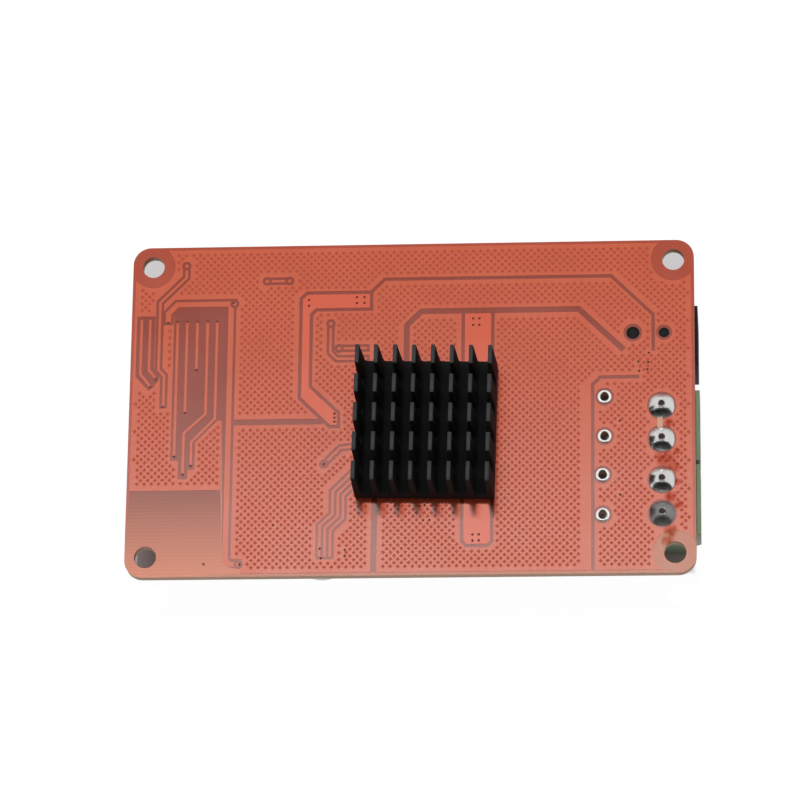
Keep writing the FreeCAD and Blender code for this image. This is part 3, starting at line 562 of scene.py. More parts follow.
def fixing_holes():
    """Centres of the four fixing holes in millimetres, from the record."""
    mount = next(mount for mount in frame["record"]["mounts"] if mount["name"] == "board_holes")
    half_x = mount["dims"]["spacing_x_mm"] / 2
    half_y = mount["dims"]["spacing_y_mm"] / 2
    return [(x, y) for x in (-half_x, half_x) for y in (-half_y, half_y)]


def wire_hole_places():
    """Centres of the four plated wire holes, in millimetres."""
    rings = []
    for vertex in frame["nodes"]["wire_hole_plating"].data.vertices:
        point = vertex.co / MM
        for ring in rings:
            if math.hypot(ring[0].x - point.x, ring[0].y - point.y) < WIRE_RING_SPAN:
                ring.append(point)
                break
        else:
            rings.append([point])
    return [(sum(p.x for p in ring) / len(ring), sum(p.y for p in ring) / len(ring)) for ring in rings]


def round_zones():
    """Round zones of the solder side: centre, radius, and which mask finish they take."""
    zones = []
    for x, y in fixing_holes():
        lower = "clear" if x < 0 else "pale"
        zones.append((x, y, FIXING_DISC_RADIUS, "disc" if y > 0 else lower))
    for name in numbered("solder_joint_"):
        place = middle_of(name) / MM
        zones.append((place.x, place.y, JOINT_GAP_RADIUS, "bare"))
    zones += [(x, y, WIRE_GAP_RADIUS, "bare") for x, y in wire_hole_places()]
    zones += [(*gap, "bare") for gap in PEG_GAPS]
    for x, y in TRACE_ENDS:
        zones += [(x, y, TRACE_PAD_RADIUS, "copper"), (x, y, TRACE_GAP_RADIUS, "bare")]
    return zones


def inside(x, y, outline):
    """Whether a point lies inside an outline."""
    held = False
    for (x0, y0), (x1, y1) in zip(outline, outline[1:] + outline[:1]):
        if (y0 > y) != (y1 > y) and x < (x1 - x0) * (y - y0) / (y1 - y0) + x0:
            held = not held
    return held


def bare_kind(x, y):
    """The finish of the mask at a point without copper under it."""
    if inside(x, y, CLEAR_CORNER):
        return "pale" if y > CORNER_RIM_LEVEL else "clear"
    low = BOARD_LOW / MM
    high = BOARD_HIGH / MM
    if x < low.x + RIM_WIDTH or x > high.x - RIM_WIDTH or y > high.y - RIM_WIDTH:
        return "disc"
    return "pale" if y < low.y + RIM_WIDTH else "bare"


class Hatch:
    """The lattice of square openings, turned by an eighth of a turn."""

    def __init__(self, pitch_mm, opening_mm):
        """Keep the lattice's pitch and half an opening."""
        self.pitch = pitch_mm
        self.half = opening_mm / 2
        self.turn = math.sqrt(0.5)
        self.kept = set()

    def centre(self, cell):
        """The middle of a cell in plan."""
        u = cell[0] * self.pitch
        v = cell[1] * self.pitch
        return (u - v) * self.turn, (u + v) * self.turn

    def corners(self, cell):
        """The four corners of a cell's opening, which point along the board's axes."""
        x, y = self.centre(cell)
        reach = self.half / self.turn
        return [(x + reach, y), (x, y + reach), (x - reach, y), (x, y - reach)]

    def opens(self, x, y):
        """Whether a point lies over an opening."""
        u = (x + y) * self.turn / self.pitch
        v = (y - x) * self.turn / self.pitch
        share = self.half / self.pitch
        return (round(u), round(v)) in self.kept and abs(u - round(u)) < share and abs(v - round(v)) < share


def edge_samples(lines, step_mm=0.2):
    """Points along every level line, to measure distances from."""
    points = []
    for (x0, y0), (x1, y1) in lines:
        count = max(1, int(math.hypot(x1 - x0, y1 - y0) / step_mm))
        for i in range(count + 1):
            points.append((x0 + (x1 - x0) * i / count, y0 + (y1 - y0) * i / count))
    tree = KDTree(len(points))
    for index, (x, y) in enumerate(points):
        tree.insert((x, y, 0), index)
    tree.balance()
    return tree


def open_hatch(hatch, near, surface, zones, margin):
    """Choose the lattice cells that are etched away."""
    half_board = BOARD_HIGH / MM
    reach = int(half_board.xy.length / hatch.pitch) + 1
    for cell in itertools.product(range(-reach, reach + 1), repeat=2):
        x, y = hatch.centre(cell)
        if abs(x) > half_board.x or abs(y) > half_board.y or near.find((x, y, 0))[2] < margin:
            continue
        if surface(x, y) != "copper" or any(inside(x, y, run) for run in UNHATCHED_RUNS):
            continue
        if any(math.hypot(x - cx, y - cy) < radius + margin for cx, cy, radius, _ in zones):
            continue
        if any(math.hypot(x - cx, y - cy) < 2 * hatch.half for cx, cy in VIA_PLACES):
            continue
        hatch.kept.add(cell)


def board_surface():
    """A function that names the solid board's surface at a point of the solder side."""
    mesh = frame["nodes"]["circuit_board"].data
    mesh.calc_loop_triangles()
    points = [vertex.co.copy() for vertex in mesh.vertices]
    finder = BVHTree.FromPolygons(points, [tuple(triangle.vertices) for triangle in mesh.loop_triangles])
    middle = (SOLDER_FACE + COMPONENT_FACE) / 2

    def surface(x, y):
        """What a ray from above the point meets."""
        hit = finder.ray_cast(Vector((x * MM, y * MM, SOLDER_FACE + MM)), Vector((0, 0, -1)), 10 * MM)[0]
        if hit is None or hit.z < middle:
            return "hole"
        return "copper" if hit.z > SOLDER_FACE - GAP_DEPTH * MM / 2 else "bare"

    return surface


class PlanMesh:
    """A flat face of the board cut up by outlines, whose regions lie at different depths."""

    def __init__(self, lines):
        """Start with the solid board's own lines."""
        self.index = {}
        self.points = []
        self.edges = []
        for first, second in lines:
            self.edges.append((self.point(first), self.point(second)))

    def point(self, key):
        """The number of a plan point, new or known."""
        if key not in self.index:
            self.index[key] = len(self.points)
            self.points.append(Vector(key))
        return self.index[key]

    def outline(self, corners):
        """Add a closed outline."""
        keys = [self.point((round(x, 3), round(y, 3))) for x, y in corners]
        self.edges += list(zip(keys, keys[1:] + keys[:1]))

    def triangles(self):
        """Cut the face into triangles that keep every line."""
        found = delaunay_2d_cdt(self.points, self.edges, [], 0, 0.0005, False)
        return found[0], found[2]


class LayeredMesh:
    """Faces at each region's level, with upright walls between the regions and round the holes."""

    def __init__(self, points, levels):
        """Start empty over some plan points, with the level of each region."""
        self.points = points
        self.levels = levels
        self.known = {}
        self.vertices = []
        self.faces = []
        self.kinds = []

    def vertex(self, index, level):
        """The number of the vertex at a plan point and a level, new or known."""
        key = (index, level)
        if key not in self.known:
            self.known[key] = len(self.vertices)
            self.vertices.append((self.points[index].x * MM, self.points[index].y * MM, level))
        return self.known[key]

    def add(self, kind, corners):
        """Add a face, given its plan points and their levels."""
        self.faces.append([self.vertex(index, level) for index, level in corners])
        self.kinds.append(kind)

    def wall(self, kind, first, second, high, low):
        """Add an upright wall over an edge of the plan."""
        self.add(kind, [(first, high), (second, high), (second, low), (first, low)])

    def lay(self, triangles, region):
        """Add the flat faces of every region and the walls that join them."""
        sides = {}
        for face in triangles:
            x = sum(self.points[i].x for i in face) / len(face)
            y = sum(self.points[i].y for i in face) / len(face)
            kind = region(x, y)
            if kind == "hole":
                continue
            self.add(kind, [(i, self.levels[kind]) for i in face])
            for first, second in zip(face, face[1:] + face[:1]):
                sides.setdefault((min(first, second), max(first, second)), []).append(kind)
        for (first, second), kinds in sides.items():
            high = max(kinds, key=self.levels.get)
            low = min(kinds, key=self.levels.get)
            if len(kinds) == 1:
                self.wall("edge", first, second, self.levels[high], COMPONENT_FACE)
            elif self.levels[high] > self.levels[low]:
                kind = low if low in ("via", "opening") else high
                self.wall(kind, first, second, self.levels[high], self.levels[low])

    def close_below(self):
        """Carry the solid board's component side over."""
        numbers = {flat_key(point * MM): index for index, point in enumerate(self.points)}
        solid = frame["nodes"]["circuit_board"].data
        for face in solid.polygons:
            keys = [flat_key(solid.vertices[i].co) for i in face.vertices]
            if face.normal.z < -0.9 and all(key in numbers for key in keys):
                self.add("copper", [(numbers[key], COMPONENT_FACE) for key in keys])

    def piece(self, name, materials):
        """The finished object, with one material a region."""
        mesh = bpy.data.meshes.new(name)
        mesh.from_pydata(self.vertices, [], self.faces)
        for material in materials.values():
            mesh.materials.append(material)
        order = list(materials)
        mesh.polygons.foreach_set("material_index", [order.index(kind) for kind in self.kinds])
        mesh.update()
        form = bmesh.new()
        form.from_mesh(mesh)
        bmesh.ops.recalc_face_normals(form, faces=form.faces)
        form.to_mesh(mesh)
        form.free()
        return placed(name, mesh)


def board_materials():
    """The board's finishes by region."""
    return {
        "copper": glossy_solder_mask("solder_mask_over_copper", shade("mask_on_copper")),
        "solid": glossy_solder_mask("solder_mask_over_solid_copper", shade("mask_on_solid")),
        "opening": glossy_solder_mask("solder_mask_in_hatch", shade("mask_in_hatch"), 0.38, 1.36),
        "bare": glossy_solder_mask("solder_mask_over_laminate", shade("mask_on_laminate"), 0.17),
        "disc": glossy_solder_mask("solder_mask_round_fixing_holes", shade("mask_on_disc")),
        "pale": glossy_solder_mask("thin_pale_solder_mask", shade("mask_on_pale")),
        "clear": mask_over_woven_glass("solder_mask_over_woven_glass", shade("clear_painted_shade"),
                                       shade("clear_painted_light")),
        "via": dark_via_wall("masked_via"),
        "edge": routed_glass_laminate("routed_glass_laminate", shade("laminate_edge")),
    }


def region_levels():
    """The height of each region of the solder side."""
    levels = dict.fromkeys(("bare", "disc", "clear", "pale"), SOLDER_FACE - GAP_DEPTH * MM)
    levels.update(dict.fromkeys(("copper", "solid"), SOLDER_FACE))
    levels["opening"] = SOLDER_FACE - sizes().hatch_depth
    levels["via"] = SOLDER_FACE - sizes().via_depth
    return levels


def region_finder(surface, hatch, zones, via_radius):
    """A function that names the region that a point of the solder side lies in."""

    def region(x, y):
        """The name of one point's region."""
        found = surface(x, y)
        if found == "hole":
            return found
        if any(math.hypot(x - cx, y - cy) < via_radius for cx, cy in VIA_PLACES):
            return "via"
        if hatch.opens(x, y):
            return "opening"
        for cx, cy, radius, kind in zones:
            if math.hypot(x - cx, y - cy) < radius:
                return kind
        if found == "bare":
            return bare_kind(x, y)
        return "solid" if any(inside(x, y, run) for run in BRIGHT_RUNS) else "copper"

    return region


def make_circuit_board():
    """The board with its hatched copper, bare lines, via dimples and routed edge."""
    surface = board_surface()
    lines = list(dict.fromkeys(level_lines(0) + level_lines(-GAP_DEPTH)))
    zones = round_zones()
    hatch = Hatch(sizes().hatch_pitch / MM, sizes().hatch_opening / MM)
    open_hatch(hatch, edge_samples(lines), surface, zones, sizes().hatch_margin / MM)
    via_radius = sizes().via_radius / MM
    plan = PlanMesh(lines)
    for cell in sorted(hatch.kept):
        plan.outline(hatch.corners(cell))
    for x, y, radius, _ in zones:
        plan.outline(circle(x, y, radius, ZONE_SIDES))
    for x, y in VIA_PLACES:
        plan.outline(circle(x, y, via_radius, VIA_SIDES))
    points, triangles = plan.triangles()
    layers = LayeredMesh(points, region_levels())
    layers.lay(triangles, region_finder(surface, hatch, zones, via_radius))
    layers.close_below()
    board = layers.piece("circuit_board_dressed", board_materials())
    seat(board, BOARD_BODY, ["circuit_board"])


# Heatsink


def make_heatsink():
    """The black pin-fin heatsink on its pale bonding pad."""
    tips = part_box("heatsink")[1].z / MM
    black = black_anodised_aluminium("black_anodised_aluminium", shade("anodising"), tips)
    dress("heatsink", black, 0.05)
    paint("bonding_pad", soft_thermal_pad("silicone_thermal_pad"))


# Solder

DOME_HEIGHT = 1.15 * MM
DOME_DIP = 0.12 * MM
DOME_RINGS = 20
DOME_SIDES = 64
PIN_END_DEPTH = 0.4 * MM
DULL_JOINT = "solder_joint_4"
# The strip of flux: half its width, and how far it lies left of the joints' middles
FLUX_HALF_WIDTH = 0.375 * MM
FLUX_OFFSET = 0.25 * MM


def solder_dome(name, lean):
    """One dome of solder as a form, which climbs to the pin's end and dips round it."""
    low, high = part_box(name)
    centre = middle_of(name)
    radius = (high.x - low.x) / 2
    form = bmesh.new()
    rings = []
    for k in range(DOME_RINGS + 1):
        share = 1 - k / DOME_RINGS
        rise = DOME_HEIGHT * (1 - share ** 1.55) - DOME_DIP * math.exp(-(share / 0.34) ** 2)
        ring = []
        for i in range(DOME_SIDES):
            angle = 2 * math.pi * i / DOME_SIDES
            swell = 1.015 + 0.010 * math.sin(3 * angle + lean) + 0.007 * math.sin(5 * angle + 2 * lean)
            reach = radius * share * (swell - 0.03 * math.cos(4 * angle))
            ring.append(form.verts.new((centre.x + reach * math.cos(angle),
                                        centre.y + reach * math.sin(angle), low.z + rise)))
        rings.append(ring)
    for lower, upper in zip(rings, rings[1:]):
        for i in range(DOME_SIDES):
            j = (i + 1) % DOME_SIDES
            form.faces.new((lower[i], lower[j], upper[j], upper[i]))
    form.faces.new(list(reversed(rings[0])))
    bmesh.ops.remove_doubles(form, verts=form.verts, dist=0.001 * MM)
    return form


def pin_end(place, top):
    """The tapered, sheared end of a terminal's pin as a form."""
    form = bmesh.new()
    bmesh.ops.create_cone(form, cap_ends=True, segments=24, radius1=0.5 * MM, radius2=0.4 * MM,
                          depth=PIN_END_DEPTH)
    bmesh.ops.translate(form, verts=form.verts, vec=(place.x, place.y, top + 0.02 * MM - PIN_END_DEPTH / 2))
    return form


def make_solder_joints():
    """The four solder domes, each with the sheared pin end in the middle."""
    bright = bright_solder("bright_solder", shade("solder"))
    dull = bright_solder("grained_solder", shaded(shade("solder"), 0.36), 0.3)
    # Painted shade: the pin end is coloured dark, partly as the duller cut metal and partly for the shade of
    # the pit round it.
    sheared = satin_metal("pin_end_with_painted_shade", linear("#2E2723"), 0.4)
    for number, name in enumerate(numbered("solder_joint_"), 1):
        metal = dull if name == DULL_JOINT else bright
        dome = finish_form(solder_dome(name, 1.7 * number), name + "_dome", [metal], 75)
        seat(dome, BOARD_BODY, [name])
        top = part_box("terminal_contact_" + str(number))[1].z
        tip = finish_form(pin_end(middle_of(name), top), "pin_end_" + str(number), [sheared])
        seat(tip, BOARD_BODY)


def make_flux_strip():
    """The beige strip of hardened flux that joins the first two joints."""
    first = middle_of("solder_joint_1")
    second = middle_of("solder_joint_2")
    middle = first.x - FLUX_OFFSET
    form = bmesh.new()
    block(form, Vector((middle - FLUX_HALF_WIDTH, second.y, -0.01 * MM)),
          Vector((middle + FLUX_HALF_WIDTH, first.y, 0.03 * MM)))
    crust = moulded_plastic("hardened_flux", linear("#BC8F74"), 0.35, 0.3, 0.02)
    seat(finish_form(form, "flux_strip", [crust]), BOARD_BODY)


def make_wire_rings():
    """The tinned rings and linings of the wire holes."""
    metal = satin_metal("hot_air_levelled_tin", shade("tin"), 0.22, 0.3)
    dress("wire_hole_plating", metal, 0.02)


# Component side

# Share of a can's width that carries the polarity mark
POLARITY_SHARE = 0.3
# Tinned ends of the small parts: thickness, share of the length, and how far their pads stand out
END_SKIN = 0.02 * MM
END_SHARE = 0.24
PAD_REACH = 0.3 * MM
PAD_LIFT = 0.03 * MM
# Bare lines round the parts, and the wide tracks to the chokes
GAP_LINE_MARGIN = 0.75 * MM
GAP_LINE_WIDTH = 0.22 * MM
GAP_LINE_LIFT = 0.015 * MM
TRACK_WIDTH = 1.3 * MM
TRACK_LIFT = 0.02 * MM
TRACK_BEND = 2.5 * MM
TRACK_END = 4 * MM


def make_terminals():
    """Screw terminals: green housings, plated cages, screws and contacts."""
    nylon = moulded_plastic("moulded_green_nylon", shade("terminal_green"), 0.4)
    zinc = satin_metal("zinc_plated_steel", linear("#C9CCD0"), 0.28)
    brass = satin_metal("tinned_brass", linear("#D8D6CC"), 0.3)
    dress_all("terminal_housing_", nylon, 0.12)
    dress_all("terminal_cage_", zinc, 0.04)
    dress_all("terminal_screw_", zinc, 0.04)
    dress_all("terminal_contact_", brass, 0.04)


def make_power_socket():
    """The power socket with its centre pin, spring and tabs."""
    nylon = moulded_plastic("moulded_black_nylon", shade("socket_black"), 0.6, ior=1.28)
    dress("socket_housing", nylon, 0.1)
    dress("socket_centre_pin", satin_metal("nickel_plated_brass", linear("#D9D7CE"), 0.2), 0.08)
    paint("socket_spring", satin_metal("spring_steel", linear("#B9BCC0"), 0.3))
    paint("socket_tabs", satin_metal("tinned_tab", linear("#D5D5CF"), 0.3))


def make_capacitors():
    """The reservoir capacitors: cans, bases and leads."""
    aluminium = satin_metal("drawn_aluminium", shade("can_metal"), 0.32, 0.35, (1, 1, 0.04), 0.1)
    ink = moulded_plastic("printed_polarity_ink", linear("#202226"), 0.5)
    phenolic = moulded_plastic("moulded_black_phenolic", linear("#1D1D1F"), 0.55)
    for can in dress_all("capacitor_can_", aluminium, 0.12, 12):
        mark_polarity(can.data, ink)
    dress_all("capacitor_base_", phenolic, 0.08)
    paint_all("capacitor_leads_", satin_metal("tinned_lead", linear("#D8D8D4"), 0.3))


def mark_polarity(mesh, ink):
    """Print the dark segment on a can's end that tells its negative side."""
    form = bmesh.new()
    form.from_mesh(mesh)
    low, high = corners_of([vertex.co for vertex in form.verts])
    limit = low.x + POLARITY_SHARE * (high.x - low.x)
    crown_level = low.z + 0.01 * MM
    crown = [face for face in form.faces if face.calc_center_median().z < crown_level]
    around = crown + list({edge for face in crown for edge in face.edges})
    around += list({vertex for face in crown for vertex in face.verts})
    bmesh.ops.bisect_plane(form, geom=around, plane_co=(limit, 0, 0), plane_no=(1, 0, 0))
    for face in form.faces:
        middle = face.calc_center_median()
        if middle.z < crown_level and middle.x < limit:
            face.material_index = 1
    form.to_mesh(mesh)
    form.free()
    mesh.materials.append(ink)


def make_chokes():
    """The output chokes: shields, drums and clips."""
    ferrite = pressed_ferrite("sintered_ferrite", shade("ferrite"))
    dress_all("choke_shield_", ferrite, 0.12)
    dress_all("choke_core_", ferrite, 0.12)
    paint_all("choke_clips_", satin_metal("tinned_clip", linear("#D8D8D4"), 0.3))


def make_chips():
    """Chips, crystal, aerial, regulator and lamp."""
    epoxy = moulded_plastic("moulded_chip_epoxy", shade("epoxy"), 0.6, 0.12, 0.015)
    lead = satin_metal("matt_tin_lead", linear("#CFCFCB"), 0.36)
    for name in ("amplifier_chip", "memory_chip", "radio_chip", "regulator_body"):
        dress(name, epoxy, 0.05)
    for name in ("amplifier_leads", "memory_leads", "regulator_leads"):
        paint(name, lead)
    dress("crystal_can", satin_metal("nickel_silver_lid", linear("#D2D0C4"), 0.25), 0.05)
    paint("printed_aerial", glossy_solder_mask("solder_mask_over_aerial", shade("mask_on_solid")))
    dress("indicator_lamp", clear_lamp_resin("clear_cast_resin"), 0.05)


def make_small_parts():
    """The small capacitors and resistors with their tinned ends and pads."""
    dress("small_capacitors", fired_ceramic("fired_ceramic", linear("#A08A6C")), 0.06)
    dress("small_resistors", moulded_plastic("resistor_glaze", linear("#1A1A1B"), 0.3), 0.04)
    tinned = satin_metal("dipped_tin_ends", shade("tin"), 0.32, 0.2)
    for name in ("small_capacitors", "small_resistors"):
        form = bmesh.new()
        for low, high in lumps(name):
            end_caps(form, low, high)
        seat(finish_form(form, name + "_ends", [tinned]), BOARD_BODY)


def lumps(node_name):
    """The boxes of a solid's separate lumps, each as its lowest and highest corner."""
    form = welded(node_name)
    unseen = set(form.verts)
    boxes = []
    while unseen:
        front = [unseen.pop()]
        places = []
        while front:
            vertex = front.pop()
            places.append(vertex.co.copy())
            for edge in vertex.link_edges:
                other = edge.other_vert(vertex)
                if other in unseen:
                    unseen.discard(other)
                    front.append(other)
        boxes.append(corners_of(places))
    form.free()
    return boxes


def block(form, low, high):
    """Add a box between two corners to a form."""
    made = bmesh.ops.create_cube(form, size=1)["verts"]
    bmesh.ops.scale(form, verts=made, vec=high - low)
    bmesh.ops.translate(form, verts=made, vec=(low + high) / 2)


def end_caps(form, low, high):
    """Add the two metal ends of a small part and the pads under them."""
    along = 0 if high.x - low.x > high.y - low.y else 1
    reach = END_SHARE * (high[along] - low[along])
    for side in (low, high):
        inward = reach if side is low else -reach
        first = low - Vector((END_SKIN, END_SKIN, END_SKIN))
        last = high + Vector((END_SKIN, END_SKIN, 0))
        for outward, level in ((END_SKIN, first.z), (PAD_REACH, COMPONENT_FACE - PAD_LIFT)):
            ends = sorted((side[along] - math.copysign(outward, inward), side[along] + inward))
            first[along], last[along] = ends
            first.z = level
            block(form, first, last)


def ribbon(form, points, width, lift, closed=False):
    """Add a flat mitred band just off the component side along some points, in metres."""
    count = len(points)
    pairs = []
    for i, point in enumerate(points):
        here = Vector(point)
        runs = []
        if i or closed:
            runs.append((here - Vector(points[i - 1])).normalized())
        if i < count - 1 or closed:
            runs.append((Vector(points[(i + 1) % count]) - here).normalized())
        along = sum(runs, Vector((0, 0))).normalized()
        side = Vector((-along.y, along.x))
        spread = width / 2 / max(0.3, side.dot(Vector((-runs[0].y, runs[0].x))))
        pairs.append([form.verts.new((*(here + side * spread * way), COMPONENT_FACE - lift))
                      for way in (1, -1)])
    for i in range(count if closed else count - 1):
        near, far = pairs[i], pairs[(i + 1) % count]
        form.faces.new((near[0], far[0], far[1], near[1]))


def make_gap_lines():
    """Bare lines round the parts of the component side, and the vias' other ends."""
    form = bmesh.new()
    gap = GAP_LINE_MARGIN
    for name in numbered("capacitor_base_") + ["memory_chip", "radio_chip", "regulator_body"]:
        low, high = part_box(name)
        corners = [(low.x - gap, low.y - gap), (high.x + gap, low.y - gap), (high.x + gap, high.y + gap),
                   (low.x - gap, high.y + gap)]
        ribbon(form, corners, GAP_LINE_WIDTH, GAP_LINE_LIFT, True)
    for x, y in VIA_PLACES:
        place = Matrix.Translation((x * MM, y * MM, COMPONENT_FACE - PAD_LIFT))
        bmesh.ops.create_circle(form, cap_ends=True, segments=12, radius=0.2 * MM, matrix=place)
    bare = glossy_solder_mask("solder_mask_over_bare_lines", shade("mask_on_laminate"))
    seat(finish_form(form, "component_gap_lines", [bare]), BOARD_BODY)


def make_choke_tracks():
    """The wide tracks from the amplifier chip to its chokes."""
    form = bmesh.new()
    low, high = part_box("amplifier_leads")
    shields = numbered("choke_shield_")
    for number, name in enumerate(shields):
        end = middle_of(name)
        start_y = high.y - (high.y - low.y) * (number + 0.5) / len(shields)
        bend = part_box(name)[0].x - TRACK_BEND - abs(end.y - start_y)
        course = [(high.x, start_y), (max(bend, high.x + MM), start_y), (end.x - TRACK_END, end.y),
                  (end.x, end.y)]
        ribbon(form, course, TRACK_WIDTH, TRACK_LIFT)
    wide = glossy_solder_mask("solder_mask_over_wide_tracks", shade("mask_on_solid"))
    seat(finish_form(form, "component_tracks", [wide]), BOARD_BODY)


# Stage

# Places in metres and sizes of the two lamps, their watts, and the corners of the dark card
KEY_PLACE = (-0.085, 0.185, 1.0)
KEY_DEPTH = 0.195
KEY_WATTS = 1.75
SIDE_PLACE = (-0.02, 0.23, 1.0)
SIDE_SPREAD = (0.06, 0.06)
SIDE_WATTS = 7.0
CARD_CORNERS = ((-2.0, -0.42, 1.0), (2.0, -0.42, 1.0), (2.0, -1.1, 0.36), (-2.0, -1.1, 0.36))
# The board's own patch of ground, where the paper is painted darker as painted shade: margins at its low y,
# high x and high y side, and its soft edge
SHADE_PATCH_MARGINS = (4.5 * MM, 1.7 * MM, 2.5 * MM)
SHADE_PATCH_EDGE = 1.5 * MM
# The fitted camera: focal length in millimetres on a 36 mm sensor, and its place
CAMERA_LENS = 190.8
CAMERA_PLACE = Vector((48.8, -180.1, 582.9)) * MM
# The camera's right, up and back directions
CAMERA_AXES = ((0.99653, 0.01198, -0.08231), (0.01295, 0.95514, 0.29588), (0.08217, -0.29592, 0.95167))


def make_stage():
    """White ground, soft lamps and the camera of the photograph's view."""
    bpy.context.scene.view_settings.view_transform = "Standard"
    side = sizes().backdrop_size / 2
    level = cad_box[0].z
    corners = [(-side, -side, level), (side, -side, level), (side, side, level), (-side, side, level)]
    flat_sheet("ground", corners, white_ground())
    light_world()
    soft_lamp("overhead_softbox", KEY_PLACE, (sizes().key_size, KEY_DEPTH), KEY_WATTS, True)
    soft_lamp("side_softbox", SIDE_PLACE, SIDE_SPREAD, SIDE_WATTS, False)
    hang_dark_card()
    place_camera()


def flat_sheet(name, corners, material):
    """A flat four-sided sheet."""
    mesh = bpy.data.meshes.new(name)
    mesh.from_pydata(corners, [], [(0, 1, 2, 3)])
    mesh.materials.append(material)
    return placed(name, mesh)


def seen_directly(tree):
    """One for sight, mirrors and glass, and zero for scattered light."""
    rays = add(tree, "LightPath").outputs
    seen = math_node(tree, "MAXIMUM", rays["Is Camera Ray"], rays["Is Glossy Ray"])
    return math_node(tree, "MAXIMUM", seen, rays["Is Transmission Ray"])


def white_ground():
    """Paper ground: white to the eye, with the object's shadow kept faint, and painted shade that darkens
    the paper under the board.
    """
    material = bpy.data.materials.new("white_paper_ground")
    tree = cleared(material)
    beyond = beyond_board(tree)
    clear = add(tree, "MapRange", {"Value": beyond, "From Max": SHADE_PATCH_EDGE, "To Max": 0.92})
    share = math_node(tree, "MULTIPLY", seen_directly(tree), clear.outputs[0])
    # Painted shade: the paper's colour drops from 0.85 to 0.6 under the board.
    painted_shade_tone = add(tree, "MapRange", {"Value": beyond, "From Max": SHADE_PATCH_EDGE, "To Min": 0.6, "To Max": 0.85})
    paper = add(tree, "BsdfDiffuse", {"Color": painted_shade_tone.outputs[0]})
    white = add(tree, "Emission", {"Color": WHITE, "Strength": 1.06})
    mix = add(tree, "MixShader", {0: share, 1: paper.outputs[0], 2: white.outputs[0]})
    add(tree, "OutputMaterial", {"Surface": mix.outputs[0]})
    return material


def beyond_board(tree):
    """How far a point of the ground lies outside the board's own patch of it, where shade is painted."""
    low_y, high_x, high_y = SHADE_PATCH_MARGINS
    low = (BOARD_LOW.x, BOARD_LOW.y + low_y)
    high = (BOARD_HIGH.x - high_x, BOARD_HIGH.y + high_y)
    place = add(tree, "SeparateXYZ", {0: add(tree, "TexCoord").outputs["Object"]})
    gaps = []
    for axis in (0, 1):
        offset = math_node(tree, "SUBTRACT", place.outputs[axis], (low[axis] + high[axis]) / 2)
        reach = math_node(tree, "ABSOLUTE", offset)
        gaps.append(math_node(tree, "SUBTRACT", reach, (high[axis] - low[axis]) / 2))
    return math_node(tree, "MAXIMUM", *gaps)


def light_world():
    """Even pale surroundings that the camera sees as white."""
    world = bpy.data.worlds.new("pale_studio")
    bpy.context.scene.world = world
    tree = cleared(world)
    strength = add(tree, "MapRange", {"Value": seen_directly(tree), "To Min": 0.2, "To Max": 1.0})
    back = add(tree, "Background", {"Color": WHITE, "Strength": strength.outputs[0]})
    add(tree, "OutputWorld", {"Surface": back.outputs[0]})


def soft_lamp(name, place, spread, watts, mirrored):
    """A soft rectangular lamp that faces the board."""
    data = bpy.data.lights.new(name, "AREA")
    data.shape = "RECTANGLE"
    data.size, data.size_y = spread
    data.energy = watts
    lamp = placed(name, data)
    lamp.location = place
    lamp.rotation_euler = (-math.atan2(place[1], place[2]), 0, 0)
    lamp.visible_glossy = mirrored


def hang_dark_card():
    """The dark side of the studio, which only mirror reflections show."""
    cloth = grained("black_cloth", 2.0, linear("#050505"), linear("#0A0A0A"), 1.0)
    card = flat_sheet("dark_card", CARD_CORNERS, cloth)
    card.visible_camera = False
    card.visible_diffuse = False
    card.visible_shadow = False
    card.visible_transmission = False


def place_camera():
    """The camera of the photograph's view, fitted to the board."""
    data = bpy.data.cameras.new("photograph_view")
    data.sensor_width = 36
    data.lens = CAMERA_LENS
    data.clip_start = 0.05
    data.clip_end = 20
    camera = placed("photograph_view", data)
    turn = Matrix(CAMERA_AXES).transposed()
    camera.matrix_world = Matrix.Translation(CAMERA_PLACE) @ turn.to_4x4()
    bpy.context.scene.camera = camera


# Operators


class MakeCircuitBoard(bpy.types.Operator):
    """Dress the circuit board with hatched copper, bare lines and vias"""

    bl_idname = "amplifier.circuit_board"
    bl_label = "Circuit board"

    def execute(self, context):
        """Build the piece."""
        make_circuit_board()
        return {"FINISHED"}


class MakeHeatsink(bpy.types.Operator):
    """Finish the heatsink and its bonding pad"""

    bl_idname = "amplifier.heatsink"
    bl_label = "Heatsink"

    def execute(self, context):
        """Build the pieces."""
        make_heatsink()
        return {"FINISHED"}


class MakeSolder(bpy.types.Operator):
    """Make the solder joints and the tinned rings of the wire holes"""

    bl_idname = "amplifier.solder"
    bl_label = "Solder joints and rings"

    def execute(self, context):
        """Build the pieces."""
        make_solder_joints()
        make_flux_strip()
        make_wire_rings()
        return {"FINISHED"}


class MakeTerminals(bpy.types.Operator):
    """Finish the screw terminals"""

    bl_idname = "amplifier.terminals"
    bl_label = "Screw terminals"

    def execute(self, context):
        """Build the pieces."""
        make_terminals()
        return {"FINISHED"}


class MakePowerSocket(bpy.types.Operator):
    """Finish the power socket"""

    bl_idname = "amplifier.power_socket"
    bl_label = "Power socket"

    def execute(self, context):
        """Build the pieces."""
        make_power_socket()
        return {"FINISHED"}


class MakeCapacitors(bpy.types.Operator):
    """Finish the reservoir capacitors"""

    bl_idname = "amplifier.capacitors"
    bl_label = "Capacitors"

    def execute(self, context):
        """Build the pieces."""
        make_capacitors()
        return {"FINISHED"}


class MakeChokes(bpy.types.Operator):
    """Finish the output chokes"""

    bl_idname = "amplifier.chokes"
    bl_label = "Chokes"

    def execute(self, context):
        """Build the pieces."""
        make_chokes()
        return {"FINISHED"}


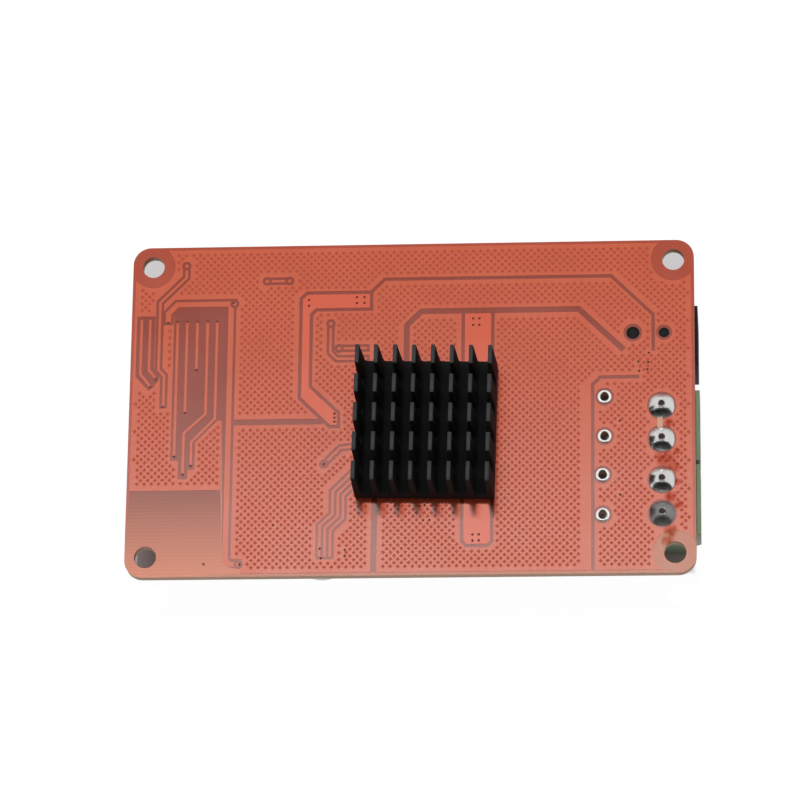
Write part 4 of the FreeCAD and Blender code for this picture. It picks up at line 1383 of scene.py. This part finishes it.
class MakeChips(bpy.types.Operator):
    """Finish the chips, crystal, aerial and lamp"""

    bl_idname = "amplifier.chips"
    bl_label = "Chips"

    def execute(self, context):
        """Build the pieces."""
        make_chips()
        return {"FINISHED"}


class MakeSmallParts(bpy.types.Operator):
    """Finish the small capacitors and resistors"""

    bl_idname = "amplifier.small_parts"
    bl_label = "Small parts"

    def execute(self, context):
        """Build the pieces."""
        make_small_parts()
        make_gap_lines()
        make_choke_tracks()
        return {"FINISHED"}


class MakeStage(bpy.types.Operator):
    """Set up the ground, the lamps and the camera"""

    bl_idname = "amplifier.stage"
    bl_label = "Stage"

    def execute(self, context):
        """Build the stage."""
        make_stage()
        return {"FINISHED"}


OPERATORS = (MakeCircuitBoard, MakeHeatsink, MakeSolder, MakeTerminals, MakePowerSocket, MakeCapacitors,
             MakeChokes, MakeChips, MakeSmallParts, MakeStage)


class AmplifierPanel(bpy.types.Panel):
    """Sidebar panel with every step and its settings"""

    bl_idname = "AMPLIFIER_PT_panel"
    bl_label = "Amplifier board"
    bl_space_type = "VIEW_3D"
    bl_region_type = "UI"
    bl_category = "Amplifier"

    def draw(self, context):
        """List the steps, then the settings."""
        column = self.layout.column()
        for operator in OPERATORS:
            column.operator(operator.bl_idname)
        for group in (context.scene.amplifier_sizes, context.scene.amplifier_colours):
            for name in group.__annotations__:
                column.prop(group, name)


CLASSES = (AmplifierColours, AmplifierSizes, *OPERATORS, AmplifierPanel)


def register():
    """Register the classes and hang the settings on the scene."""
    for item in CLASSES:
        bpy.utils.register_class(item)
    bpy.types.Scene.amplifier_colours = bpy.props.PointerProperty(type=AmplifierColours)
    bpy.types.Scene.amplifier_sizes = bpy.props.PointerProperty(type=AmplifierSizes)


def unregister():
    """Take everything out again."""
    del bpy.types.Scene.amplifier_sizes
    del bpy.types.Scene.amplifier_colours
    for item in reversed(CLASSES):
        bpy.utils.unregister_class(item)


def main():
    """Build every piece in order."""
    register()
    for operator in OPERATORS:
        group, name = operator.bl_idname.split(".")
        getattr(getattr(bpy.ops, group), name)()


if __name__ == "__main__":
    main()
